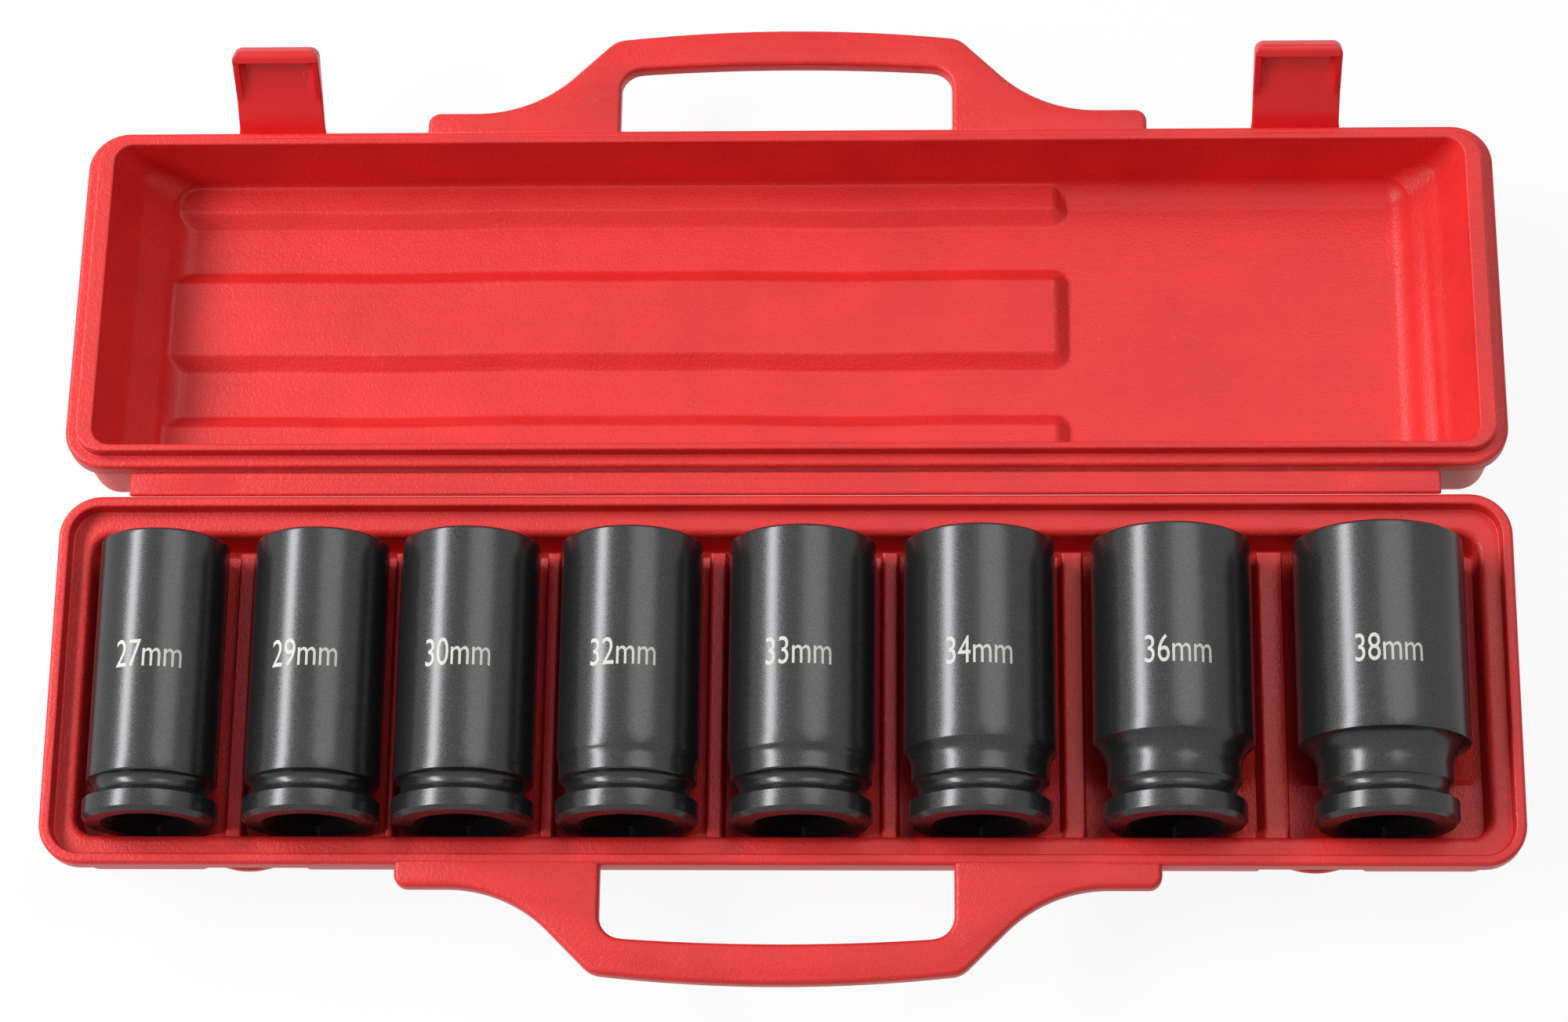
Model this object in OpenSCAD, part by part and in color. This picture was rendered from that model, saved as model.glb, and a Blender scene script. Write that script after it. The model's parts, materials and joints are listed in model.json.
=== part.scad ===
// Deep impact sockets in a two-part carrying case, lying open.
//
// Millimetres. X runs along the case, Y from the handle side to the hinge, Z up.
// The origin is the middle of the base's flat underside.
// The lid lies open behind the base, with its far edge resting on the same surface.

/* [Case] */
// Length of the case along the hinge
case_len = 455; // [440:1:500]
// Depth of each half, from its hinge edge to its handle edge
case_dep = 118.5; // [117:0.5:130]
// Corner radius of the rims, seen from above
corner_r = 13; // [12:0.5:16]
// Height of the base half
base_h = 40; // [38:0.5:46]
// Height of the lid half
lid_h = 35; // [34:0.5:38]
// Thickness of the outer shells
shell_t = 1.8; // [1.4:0.1:2]
// Thickness of the moulded inner skins
skin_t = 1.6; // [1.2:0.1:1.8]
// Radius of the long outer edges at the bottom of each half
edge_r = 6; // [3:0.5:6]
// Gap between the two rims when the case is shut
rim_gap = 0.3; // [0.2:0.1:0.6]

/* [Rims] */
// Thickness of the flange round each half
flange_t = 6.5; // [6:0.1:7.5]
// How far the outer walls stand back under the flange
wall_in = 2.6; // [2.2:0.1:2.8]
// How much further the base's outer wall leans in towards its bottom
base_lean = 4.2; // [2:0.1:4.4]
// How much further the lid's outer wall leans in towards its bottom
lid_lean = 1.6; // [0.6:0.1:1.8]
// Width of the base's rim round its recess
rim_w = 3.5; // [3:0.1:4]
// Depth of the recess inside the base's rim
rim_recess = 5; // [4.4:0.1:5.2]
// Height of the lid's locating tongue
tongue_h = 4; // [2.5:0.1:4.1]
// Width of the tongue along the long sides
tongue_w = 2.5; // [2.4:0.1:3]
// Width of the tongue along the ends
tongue_end_w = 5.6; // [4:0.1:7]
// Clearance between the tongue and the rim that it drops into
tongue_gap = 0.4; // [0.3:0.05:0.6]

/* [Socket tray] */
// Width of the ledge at each end of the tray
ledge_end = 7; // [6:0.25:9]
// Width of the ledge along the handle side
ledge_front = 6.75; // [6:0.25:7]
// Width of the ledge along the hinge side
ledge_rear = 8.25; // [6:0.25:8.5]
// Depth of the well below the ledge, down to the flat tops of the dividers
well_dep = 4; // [3:0.25:6]
// Corner radius of the well
well_r = 6; // [4:0.5:8]
// Radius of the rounded edge where the ledge turns down into the well
lip_r = 2.5; // [1:0.25:2.5]
// Play between a socket and the round cradle below it
cradle_play = 0.4; // [0.3:0.05:0.6]
// Share of the gap between two sockets that the divider takes
divider_share = 0.6; // [0.4:0.05:0.7]
// Height of the straight side of a divider
divider_side = 5; // [2:0.5:7]
// Depth of the trough between the dividers' ends and the rear wall, below the dividers' tops
trough_dep = 11; // [8:0.5:12]
// Clearance between the sockets' open ends and that trough's front side
trough_gap = 0.4; // [0.3:0.1:1]

/* [Handles] */
// Reach of the handles in front of the rim
handle_reach = 36.8; // [34:0.2:44]
// Depth of the bar that the fingers close round
grip_dep = 12.5; // [10:0.25:14]
// Length of the finger opening
grip_len = 108; // [96:1:112]
// Thickness of each handle half
handle_t = 6.3; // [5:0.1:6.5]
// Half the length over the handle's feet
foot_out = 117; // [112:1:122]
// Reach of the feet
foot_reach = 7; // [5:0.5:9]
// Radius of the sweep between a foot and the grip
sweep_r = 44; // [38:1:48]

/* [Hinge] */
// Length of the hinge web
web_len = 412; // [380:1:428]
// Thickness of the hinge web
web_t = 1.4; // [1:0.1:1.6]
// Radius of the rounded folding edge on a web or a latch
fold_r = 1; // [0.8:0.05:1.1]
// Gap between a rim and the folding edge beside it
fold_gap = 0.3; // [0.2:0.05:0.5]
// Depth of the fold line below the base's rim
base_fold_in = 1.6; // [1.4:0.1:2.5]
// Depth of the fold line below the lid's rim
lid_fold_in = 4; // [3:0.1:4.5]
// Length of the thicker stretch at each end of the web
web_pad_len = 28; // [10:1:40]
// How much thicker the web is there
web_pad_t = 0.4; // [0.2:0.1:0.5]

/* [Latches] */
// Distance of each latch from the middle of the case
latch_out = 165; // [155:1:175]
// Width of a latch
latch_w = 28; // [24:0.5:32]
// Thickness of the latch plate
latch_t = 2; // [1.6:0.1:2.2]
// Depth of the latch's fold line below the lid's rim
latch_fold_in = 3.2; // [2:0.1:4]
// Angle at which the latches stand out of the lid's rim plane
latch_lift = 49; // [0:1:80]
// Distance from the base's rim down to the underside of the catch
catch_drop = 21.5; // [18:0.5:22]
// Height of the catch
catch_h = 5; // [3:0.5:6]
// Width of the catch
catch_w = 15.5; // [10:0.5:18]
// How far the catch's face stands back from the rim's edge
catch_in = 2.25; // [1.5:0.25:2.5]
// How far the hook reaches behind the catch's face
hook_bite = 1.2; // [0.8:0.1:1.4]
// Thickness of the hook
hook_t = 4; // [3:0.25:5]
// Clearance between the hook and the catch
hook_gap = 0.6; // [0.3:0.1:1]
// How far the wall stands back from the rim's edge behind a latch
bay_in = 6.2; // [5.8:0.1:6.3]
// Clearance between a latch and the side of its bay
bay_gap = 1.6; // [0.8:0.1:3]

/* [Lid inside] */
// Depth inside the lid, from its rim to its floor
lid_inside = 28; // [27.5:0.25:29]
// How far the end walls slope in over their height
end_slope = 17; // [6:0.5:18]
// How far the end walls bulge outwards halfway, to clear the outermost sockets
end_bulge = 2; // [1.5:0.25:3]
// How far the long walls lean in over their height
side_slope = 1.2; // [1:0.1:2]
// Radius between the walls and the floor
floor_r = 9; // [5:0.5:10]
// Height of the ribs above the floor
rib_h = 3.75; // [2:0.25:4]
// Width of a rib's sloping side
rib_slope = 5.8; // [3:0.2:6.4]
// Corner radius of the ribs' ends
rib_r = 6; // [2:0.5:7]
// Width of the rib along the handle side, at its foot
rib_front_w = 16; // [10:0.5:20]
// Width of each plain strip between two ribs
rib_space = 15; // [10:0.5:18]
// Width of the middle rib, at its foot
rib_mid_w = 36.5; // [26:0.5:38]

/* [Sockets] */
// Length of every socket
socket_len = 90; // [80:1:91]
// Gap between the drive ends and the tray's front wall
socket_front_gap = 1.8; // [1:0.1:2]
// Size of the square drive
drive_sq = 19.05; // [12.7:0.05:19.5]
// Depth of the square drive
drive_dep = 22; // [18:0.5:26]
// Depth of the hexagon
hex_dep = 42; // [30:1:50]
// Length of the hub up to its groove
hub_len = 7; // [5:0.25:8]
// Radius of the groove behind the hub
groove_r = 3; // [2:0.1:3.2]
// Width of the plain band behind the groove on the stepped sockets
band_w = 4.5; // [3:0.25:5.5]
// Chamfer round the hub's end
hub_chamfer = 1.5; // [0.5:0.1:2]
// Chamfer round the open end
mouth_chamfer = 1.1; // [0.4:0.1:1.6]

/* [Hidden] */
$fn = 48;
CASE_RED = [0.93, 0.23, 0.21];
LATCH_RED = [0.87, 0.11, 0.13];
SOCKET_BLACK = [0.16, 0.15, 0.15];
over = 1; // how far a cut runs past the face that it opens
seam = 0.1; // gap between two skins that are nodes of their own

// Hexagon, body diameter, hub diameter, band diameter, and how far the body starts behind the
// drive end. A band as wide as the body means that the socket has no step.
SOCKETS = [
    [27, 40, 41.5, 40, 13],
    [29, 41.5, 42.5, 41.5, 13],
    [30, 43, 44, 43, 13],
    [32, 44, 44, 42.5, 20.5],
    [33, 45.5, 44, 43.5, 20.5],
    [34, 47, 44, 42.5, 22.5],
    [36, 49.5, 44, 41, 25],
    [38, 52.5, 44, 41, 25],
];
LAST = len(SOCKETS) - 1;
// Shares of the free length before, between and after the sockets
GAP_SHARES = [4, 9, 4.5, 7, 8.5, 8.5, 11, 13, 5.5];

function total(list, n, i = 0) = i >= n ? 0 : list[i] + total(list, n, i + 1);
function arc(x, y, r, from, to, steps = 8) =
    [for (k = [0:steps]) let (a = from + (to - from) * k / steps) [x + r * cos(a), y + r * sin(a)]];
function flipped(points) = [for (k = [len(points) - 1:-1:0]) [-points[k][0], points[k][1]]];

// Base
front_y = -case_dep / 2;
ledge_z = base_h - rim_recess;
divider_z = ledge_z - well_dep;
well_len = case_len - 2 * (rim_w + ledge_end);
well_front = front_y + rim_w + ledge_front;
well_rear = case_dep / 2 - rim_w - ledge_rear;
well_mid = (well_front + well_rear) / 2;
lip_w = lip_r + 1.5; // width of the tray's lip, out to the shell's ledge

// Sockets in the tray
body_d = [for (s = SOCKETS) s[1]];
hub_d = [for (s = SOCKETS) s[2]];
free_len = well_len - total(body_d, len(body_d));
gaps = [for (g = GAP_SHARES) free_len * g / total(GAP_SHARES, len(GAP_SHARES))];
function socket_x(i) = -well_len / 2 + total(gaps, i + 1) + total(body_d, i) + body_d[i] / 2;
drive_y = well_front + socket_front_gap;
band_end = hub_len + 2 * groove_r + band_w; // where a stepped socket starts to widen
// Edges of pocket i along X, at the tops of the dividers. The well cuts the outermost ones off.
function pocket_left(i) = i == 0 ? -well_len / 2 - over
    : socket_x(i) - body_d[i] / 2 - gaps[i] * (1 - divider_share) / 2;
function pocket_right(i) = i == LAST ? well_len / 2 + over
    : socket_x(i) + body_d[i] / 2 + gaps[i + 1] * (1 - divider_share) / 2;

// Hinge: both fold lines run just outside the rims
fold_out = fold_gap + fold_r;
web_y = case_dep / 2 + fold_out;
web_z = base_h - base_fold_in;
web_w = base_fold_in + lid_fold_in + rim_gap;
// The lid leans back until the far edge of its outer face is as low as the base
lean_run = case_dep - wall_in - lid_lean - edge_r + fold_out;
lean_rise = lid_h - lid_fold_in;
lid_tilt = asin(web_z / norm([lean_run, lean_rise])) - atan2(lean_rise, lean_run);

// Latches, measured from their fold line with the latch lying along +Y
hook_end = rim_gap + latch_fold_in + catch_drop + hook_gap + hook_t;
hook_reach = fold_out - latch_t / 2 + catch_in + hook_bite;
gusset_run = catch_drop + hook_gap - flange_t - 1.5; // ends just short of the flanges

// Lid inside, seen from its middle
cavity_len = case_len - 2 * (rim_w + tongue_gap + tongue_end_w);
cavity_dep = case_dep - 2 * (rim_w + tongue_gap + tongue_w);
cavity_h = tongue_h + lid_inside;
rib_left = -cavity_len / 2;
rib_right = (pocket_right(LAST - 2) + pocket_left(LAST - 1)) / 2 + 1.5;

// Plan and profile helpers

// Flat rounded rectangle
module plan(length, depth, r) {
    square([length - 2 * r, depth], center = true);
    square([length, depth - 2 * r], center = true);
    for (x = [-1, 1], y = [-1, 1])
        translate([x * (length / 2 - r), y * (depth / 2 - r)]) circle(r);
}

module plate(length, depth, r, bottom, top) {
    translate([0, 0, bottom]) linear_extrude(top - bottom) plan(length, depth, r);
}

// Tray with leaning walls and a rounded bottom edge. The radii are those of its corners at
// the bottom and the top, round posts that stand r in from a rectangle of length and depth.
module pan(length, depth, r, bottom_r, top_r, fillet, bottom, top) {
    f = min(fillet, bottom_r - 0.2);
    profile = concat([[0, bottom]], arc(bottom_r - f, bottom + f, f, -90, 0, 6),
        [[top_r, top], [0, top]]);
    for (turn = [0:3])
        translate([(turn == 0 || turn == 3 ? 1 : -1) * (length / 2 - r),
            (turn < 2 ? 1 : -1) * (depth / 2 - r), 0])
            rotate(90 * turn) rotate_extrude(angle = 90) polygon(profile);
    for (side = [0, 180]) rotate(side) {
        translate([length / 2 - r, 0, 0]) rotate([90, 0, 0])
            linear_extrude(depth - 2 * r, center = true) polygon(profile);
        translate([0, depth / 2 - r, 0]) rotate([90, 0, 90])
            linear_extrude(length - 2 * r, center = true) polygon(profile);
    }
    translate([0, 0, (bottom + top) / 2])
        cube([length - 2 * r, depth - 2 * r, top - bottom], center = true);
}

// Outer form of one half, from its bottom up to the underside of its flange
module half_form(bottom, top, lean, inset = 0) {
    top_r = corner_r - wall_in - inset;
    pan(case_len, case_dep, corner_r, top_r - lean, top_r, edge_r - inset, bottom + inset, top);
}

// Places the lid, drawn about its middle with its rim plane at Z = 0 and its body below
module lid_place() {
    translate([0, web_y + web_w, web_z]) rotate([-lid_tilt, 0, 0])
        translate([0, fold_out + case_dep / 2, lid_fold_in]) children();
}

// Base

// Space behind a latch, cut into the base's front wall. Grown, it is the wall round that space.
module latch_bay(grow = 0) {
    back = front_y + bay_in + grow;
    knee = base_h - catch_drop - 3;
    rotate([90, 0, 90]) linear_extrude(latch_w + 2 * (bay_gap + grow), center = true)
        polygon([[front_y - over, base_h - flange_t], [back, base_h - flange_t], [back, knee],
            [back + 3, knee / 2], [back + 3, -over], [front_y - over, -over]]);
}

module latch_bays(grow = 0) {
    for (x = [-latch_out, latch_out]) translate([x, 0, 0]) latch_bay(grow);
}

module base_outer_shell() color(CASE_RED) {
    under = base_h - flange_t;
    difference() {
        union() {
            plate(case_len, case_dep, corner_r, under, base_h);
            half_form(0, under, base_lean);
        }
        plate(case_len - 2 * rim_w, case_dep - 2 * rim_w, corner_r - rim_w, ledge_z, base_h + over);
        translate([0, well_mid, 0])
            plate(well_len + 2 * lip_w, well_rear - well_front + 2 * lip_w, well_r + lip_w,
                under - over, base_h);
        difference() {
            half_form(0, under, base_lean, shell_t);
            latch_bays(shell_t);
        }
        latch_bays();
    }
}

// Pocket i: a round cradle for the body, a closer one for the hub and the band, and sloping
// sides above both. Grown, it is the skin round that space.
module pocket(i, grow = 0) {
    front = well_front - grow - over;
    rear = well_rear + grow + over;
    front_r = max(SOCKETS[i][2], SOCKETS[i][3]) / 2 + cradle_play + grow;
    rear_r = body_d[i] / 2 + cradle_play + grow;
    step = drive_y + (rear_r > front_r ? band_end - grow : SOCKETS[i][4] + grow);
    knee = divider_z - divider_side;
    low = 45; // angle from straight down at which the sloping sides run into the cradle
    in = 0.97 * min(front_r, rear_r); // a little inside both cradles
    translate([socket_x(i), 0, base_h]) rotate([-90, 0, 0]) rotate_extrude()
        polygon([[0, front], [front_r, front], [front_r, step], [rear_r, step],
            [rear_r, rear], [0, rear]]);
    translate([0, rear, 0]) rotate([90, 0, 0]) linear_extrude(rear - front)
        polygon([[pocket_left(i) - grow, divider_z + over], [pocket_left(i) - grow, knee],
            [socket_x(i) - in * sin(low), base_h - in * cos(low)],
            [socket_x(i) + in * sin(low), base_h - in * cos(low)],
            [pocket_right(i) + grow, knee], [pocket_right(i) + grow, divider_z + over]]);
}

// Trough along the rear wall, past the open ends of the sockets
module trough(grow = 0) {
    bottom = divider_z - trough_dep - grow;
    front = drive_y + socket_len + trough_gap - grow;
    translate([-case_len / 2, front, bottom]) cube([case_len, case_dep, base_h - bottom]);
}

// All pockets, cut off at the walls of the well and at the dividers' tops. Their corners are a
// little rounder than those of the well above.
module pockets(grow = 0) intersection() {
    union() {
        for (i = [0:LAST]) pocket(i, grow);
        trough(grow);
    }
    translate([0, well_mid, 0])
        plate(well_len + 2 * grow, well_rear - well_front + 2 * grow, well_r + 1 + grow,
            0, divider_z);
}

// The well below the ledge, with its rounded upper edge
module well() {
    edge = concat([[0, divider_z]], [[well_r, divider_z]],
        [for (p = arc(well_r + lip_r, ledge_z - lip_r, lip_r, 180, 90, 5)) p], [[0, ledge_z]]);
    length = well_len;
    depth = well_rear - well_front;
    translate([0, well_mid, 0]) {
        for (turn = [0:3])
            translate([(turn == 0 || turn == 3 ? 1 : -1) * (length / 2 - well_r),
                (turn < 2 ? 1 : -1) * (depth / 2 - well_r), 0])
                rotate(90 * turn) rotate_extrude(angle = 90) polygon(edge);
        for (side = [0, 180]) rotate(side) {
            translate([length / 2 - well_r, 0, 0]) rotate([90, 0, 0])
                linear_extrude(depth - 2 * well_r, center = true) polygon(edge);
            translate([0, depth / 2 - well_r, 0]) rotate([90, 0, 90])
                linear_extrude(length - 2 * well_r, center = true) polygon(edge);
        }
        translate([0, 0, (divider_z + ledge_z) / 2])
            cube([length - 2 * well_r, depth - 2 * well_r, ledge_z - divider_z], center = true);
    }
}

module socket_tray() color(CASE_RED) {
    depth = well_rear - well_front;
    difference() {
        union() {
            translate([0, well_mid, 0]) {
                plate(well_len + 2 * lip_w, depth + 2 * lip_w, well_r + lip_w,
                    base_h - flange_t, ledge_z);
                plate(well_len + 2 * skin_t, depth + 2 * skin_t, well_r + skin_t,
                    divider_z - skin_t, base_h - flange_t);
            }
            pockets(skin_t);
        }
        well();
        pockets();
    }
}

// One catch: a bowed block on the wall behind the latch, with a sloping top
module catch(x) color(CASE_RED) {
    depth = bay_in - catch_in;
    bow = depth / 3;
    bow_r = (catch_w * catch_w / 4 + bow * bow) / (2 * bow);
    translate([x, front_y + catch_in, base_h - catch_drop]) intersection() {
        linear_extrude(catch_h) intersection() {
            translate([-catch_w / 2, 0]) square([catch_w, depth]);
            translate([0, bow_r]) circle(bow_r, $fn = 180);
        }
        rotate([90, 0, 90]) linear_extrude(catch_w, center = true)
            polygon([[0, 0], [depth, 0], [depth, catch_h], [0, catch_h / 2]]);
    }
}

module catch_left() catch(-latch_out);
module catch_right() catch(latch_out);

// Handles, drawn with the rim's edge at Y = 0 and the grip towards +Y

crown_r = 480; // radius of the slightly bowed outer side of the grip
shoulder_r = 8; // radius of the grip's outer corners
sweep_x = foot_out - 16; // where the sweep leaves the foot
flank = sweep_x - sweep_r * tan(22.5) + foot_reach; // the flank runs along x + y = flank

// Middle of a shoulder's arc, which touches the flank and the crown
crown_mid = handle_reach - crown_r;
shoulder_sum = flank - shoulder_r * sqrt(2) - crown_mid;
shoulder_x = (shoulder_sum - sqrt(2 * pow(crown_r - shoulder_r, 2) - pow(shoulder_sum, 2))) / 2;
shoulder_y = flank - shoulder_r * sqrt(2) - shoulder_x;
crown_turn = atan2(shoulder_x, shoulder_y - crown_mid);

module handle_outline() {
    right = concat([[foot_out, 0]], arc(foot_out - 4, foot_reach - 4, 4, 0, 90),
        arc(sweep_x, foot_reach + sweep_r, sweep_r, 270, 225, 12),
        arc(shoulder_x, shoulder_y, shoulder_r, 45, 90 - crown_turn),
        [for (k = [1:12]) let (a = crown_turn * (1 - k / 12))
            [crown_r * sin(a), crown_mid + crown_r * cos(a)]]);
    polygon(concat(right, flipped([for (k = [0:len(right) - 2]) right[k]])));
}

module finger_opening() {
    deep = handle_reach - grip_dep;
    bow = 2.1; // how much deeper the opening is in its middle than at its corners
    bow_r = (grip_len * grip_len / 4 + bow * bow) / (2 * bow);
    corner = 7;
    intersection() {
        translate([-grip_len / 2, -over]) square([grip_len, deep + over]);
        translate([0, deep - bow_r]) circle(bow_r, $fn = 720);
        union() {
            translate([-grip_len / 2, -over]) square([grip_len, deep - corner - bow + over]);
            translate([corner - grip_len / 2, 0]) square([grip_len - 2 * corner, deep]);
            for (x = [-1, 1]) translate([x * (grip_len / 2 - corner), deep - corner - bow])
                circle(corner);
        }
    }
}

module handle_half() {
    linear_extrude(handle_t) difference() {
        handle_outline();
        finger_opening();
    }
}

module base_handle() color(CASE_RED)
    translate([0, front_y, base_h]) rotate([180, 0, 0]) handle_half();

module lid_handle() color(CASE_RED)
    lid_place() translate([0, case_dep / 2, -handle_t]) handle_half();

// Hinge

module hinge_web() color(CASE_RED) {
    translate([0, web_y, web_z]) {
        translate([-web_len / 2, 0, -web_t / 2]) cube([web_len, web_w, web_t]);
        for (y = [0, web_w]) translate([-web_len / 2, y, 0]) rotate([0, 90, 0])
            cylinder(r = fold_r, h = web_len);
        for (x = [-web_len / 2, web_len / 2 - web_pad_len])
            translate([x, 0, 0]) cube([web_pad_len, web_w, web_t / 2 + web_pad_t]);
    }
}

// Lid

module lid_outer_shell() color(CASE_RED) lid_place() difference() {
    union() {
        plate(case_len, case_dep, corner_r, -flange_t, 0);
        half_form(-lid_h, -flange_t, lid_lean);
    }
    half_form(-lid_h, -flange_t, lid_lean, shell_t);
    plate(cavity_len + 2 * (skin_t + seam), cavity_dep + 2 * (skin_t + seam),
        well_r + skin_t + seam, -flange_t - over, over);
}

// The hollow inside the lid, with sloping ends and a rounded floor, grown on all sides
module lid_hollow(grow = 0) {
    end_lean = atan2(end_slope, cavity_h);
    side_lean = atan2(side_slope, cavity_h);
    x = cavity_len / 2 - end_slope - floor_r * tan(45 - end_lean / 2);
    y = cavity_dep / 2 - side_slope - floor_r * tan(45 - side_lean / 2);
    halfway = (tongue_h - lid_inside) / 2;
    hull() {
        plate(cavity_len + 2 * grow, cavity_dep + 2 * grow, well_r + grow, tongue_h, tongue_h + over,
            $fn = 32);
        plate(cavity_len - end_slope + 2 * (end_bulge + grow), cavity_dep - side_slope + 2 * grow,
            well_r + grow, halfway, halfway + 0.1, $fn = 32);
        for (sx = [-1, 1], sy = [-1, 1])
            translate([sx * x, sy * y, floor_r - lid_inside]) sphere(floor_r + grow, $fn = 32);
    }
}

// A raised pad on the lid's floor between two distances from the middle
module rib(near, far) {
    function at(inset) = [rib_left, near + inset, rib_right - inset, far - inset];
    levels = [[at(0), -lid_inside - 0.5], [at(rib_slope), rib_h - lid_inside - 0.1]];
    hull() for (level = levels) let (b = level[0])
        translate([0, 0, level[1]]) linear_extrude(0.1) {
            translate([b[0], b[1]]) square([over, b[3] - b[1]]);
            for (y = [b[1] + rib_r, b[3] - rib_r]) translate([b[2] - rib_r, y])
                circle(rib_r, $fn = 32);
        }
}

module ribs() {
    half = cavity_dep / 2;
    front = half - rib_front_w;
    mid = front - rib_space;
    rear = mid - rib_mid_w;
    rib(front, half + 2 * rib_slope);
    rib(rear, mid);
    rib(-half - 2 * rib_slope, rear - rib_space);
}

module lid_liner() color(CASE_RED) lid_place() difference() {
    intersection() {
        lid_hollow(skin_t);
        translate([0, 0, -lid_h]) cube([2 * case_len, 2 * case_dep, 2 * lid_h], center = true);
    }
    difference() {
        lid_hollow();
        ribs();
    }
}

module lid_tongue() color(CASE_RED) lid_place() difference() {
    in = 2 * (rim_w + tongue_gap);
    plate(case_len - in, case_dep - in, corner_r - in / 2, 0, tongue_h);
    lid_hollow();
}

// Latches

// One latch, drawn along +Y from its fold line with the inner side up
module latch(x) color(LATCH_RED) {
    top = latch_t / 2 + hook_reach;
    corner = 2.5; // radius of the latch's two outer corners
    side_t = 2; // thickness of the gusset along each side
    lid_place() translate([x, case_dep / 2 + fold_out, -latch_fold_in]) rotate([latch_lift, 0, 0]) {
        rotate([0, 90, 0]) cylinder(r = fold_r, h = latch_w, center = true);
        translate([0, 0, -latch_t / 2]) linear_extrude(latch_t)
            latch_outline(0, corner);
        translate([0, 0, -latch_t / 2]) linear_extrude(top + latch_t / 2)
            latch_outline(hook_end - hook_t, corner);
        for (side = [-latch_w / 2, latch_w / 2 - side_t])
            translate([side, 0, 0]) rotate([90, 0, 90]) linear_extrude(side_t)
                polygon([[hook_end - hook_t, 0], [hook_end - hook_t, top],
                    [hook_end - hook_t - gusset_run, latch_t / 2],
                    [hook_end - hook_t - gusset_run, 0]]);
    }
}

// The latch's plan from a given distance to its rounded end
module latch_outline(from, corner) {
    translate([-latch_w / 2, from]) square([latch_w, hook_end - corner - from]);
    translate([corner - latch_w / 2, from]) square([latch_w - 2 * corner, hook_end - from]);
    for (side = [-1, 1]) translate([side * (latch_w / 2 - corner), hook_end - corner])
        circle(corner);
}

module latch_left() latch(-latch_out);
module latch_right() latch(latch_out);

// Sockets

// Outline of socket i from its axis outwards, with the drive end at Y = 0
module socket_profile(i) {
    body = body_d[i] / 2;
    hub = hub_d[i] / 2;
    band = SOCKETS[i][3] / 2;
    start = SOCKETS[i][4];
    groove = hub_len + groove_r;
    rise = body - band;
    difference() {
        polygon([[0, 0], [hub - hub_chamfer, 0], [hub, hub_chamfer], [hub, groove],
            [band, groove], [band, rise > 0 ? band_end : start],
            [body, rise > 0 ? band_end : start], [body, socket_len - mouth_chamfer],
            [body - mouth_chamfer, socket_len], [0, socket_len]]);
        translate([hub, groove]) circle(groove_r);
        if (rise > 0) {
            run = start - band_end;
            r = (rise * rise + run * run) / (2 * rise);
            translate([band + r, band_end]) circle(r, $fn = 96);
        }
    }
}

module socket(i) color(SOCKET_BLACK) {
    af = SOCKETS[i][0];
    across = af * 2 / sqrt(3); // width over the hexagon's corners
    core = af + 0.5; // width of the round bore between the square and the hexagon
    lead = drive_sq * sqrt(2) + 2.5; // width of the cone that leads into the square
    mouth = 1.5; // depth of the cone that leads into the hexagon
    hex_y = socket_len - hex_dep;
    translate([socket_x(i), drive_y, base_h]) rotate([-90, 0, 0]) difference() {
        rotate_extrude($fn = 96) socket_profile(i);
        translate([-drive_sq / 2, -drive_sq / 2, -over])
            cube([drive_sq, drive_sq, drive_dep + 2 * over]);
        translate([0, 0, -0.01]) cylinder(d1 = lead, d2 = drive_sq, h = (lead - drive_sq) / 3);
        translate([0, 0, drive_dep]) cylinder(d = core, h = hex_y - drive_dep + over);
        translate([0, 0, hex_y]) cylinder(d = across, h = hex_dep + over, $fn = 6);
        translate([0, 0, socket_len - mouth]) cylinder(d1 = af, d2 = across + mouth, h = mouth + 0.01);
    }
}

module socket_27mm() socket(0);
module socket_29mm() socket(1);
module socket_30mm() socket(2);
module socket_32mm() socket(3);
module socket_33mm() socket(4);
module socket_34mm() socket(5);
module socket_36mm() socket(6);
module socket_38mm() socket(7);

base_outer_shell();
socket_tray();
base_handle();
catch_left();
catch_right();
hinge_web();
lid_outer_shell();
lid_liner();
lid_tongue();
lid_handle();
latch_left();
latch_right();
socket_27mm();
socket_29mm();
socket_30mm();
socket_32mm();
socket_33mm();
socket_34mm();
socket_36mm();
socket_38mm();
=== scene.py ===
"""Deep impact sockets in a moulded carrying case that lies open: the finish of every surface.

Sizes are millimetres unless a name says otherwise, and MM turns them into Blender's metres.
The lid's pieces are drawn about the lid's middle with its rim plane at Z = 0, then placed.
"""

import json
from math import acos, asin, atan2, cos, degrees, pi, radians, sin, sqrt, tan

import bpy
import numpy as np
from mathutils import Matrix, Vector


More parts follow.
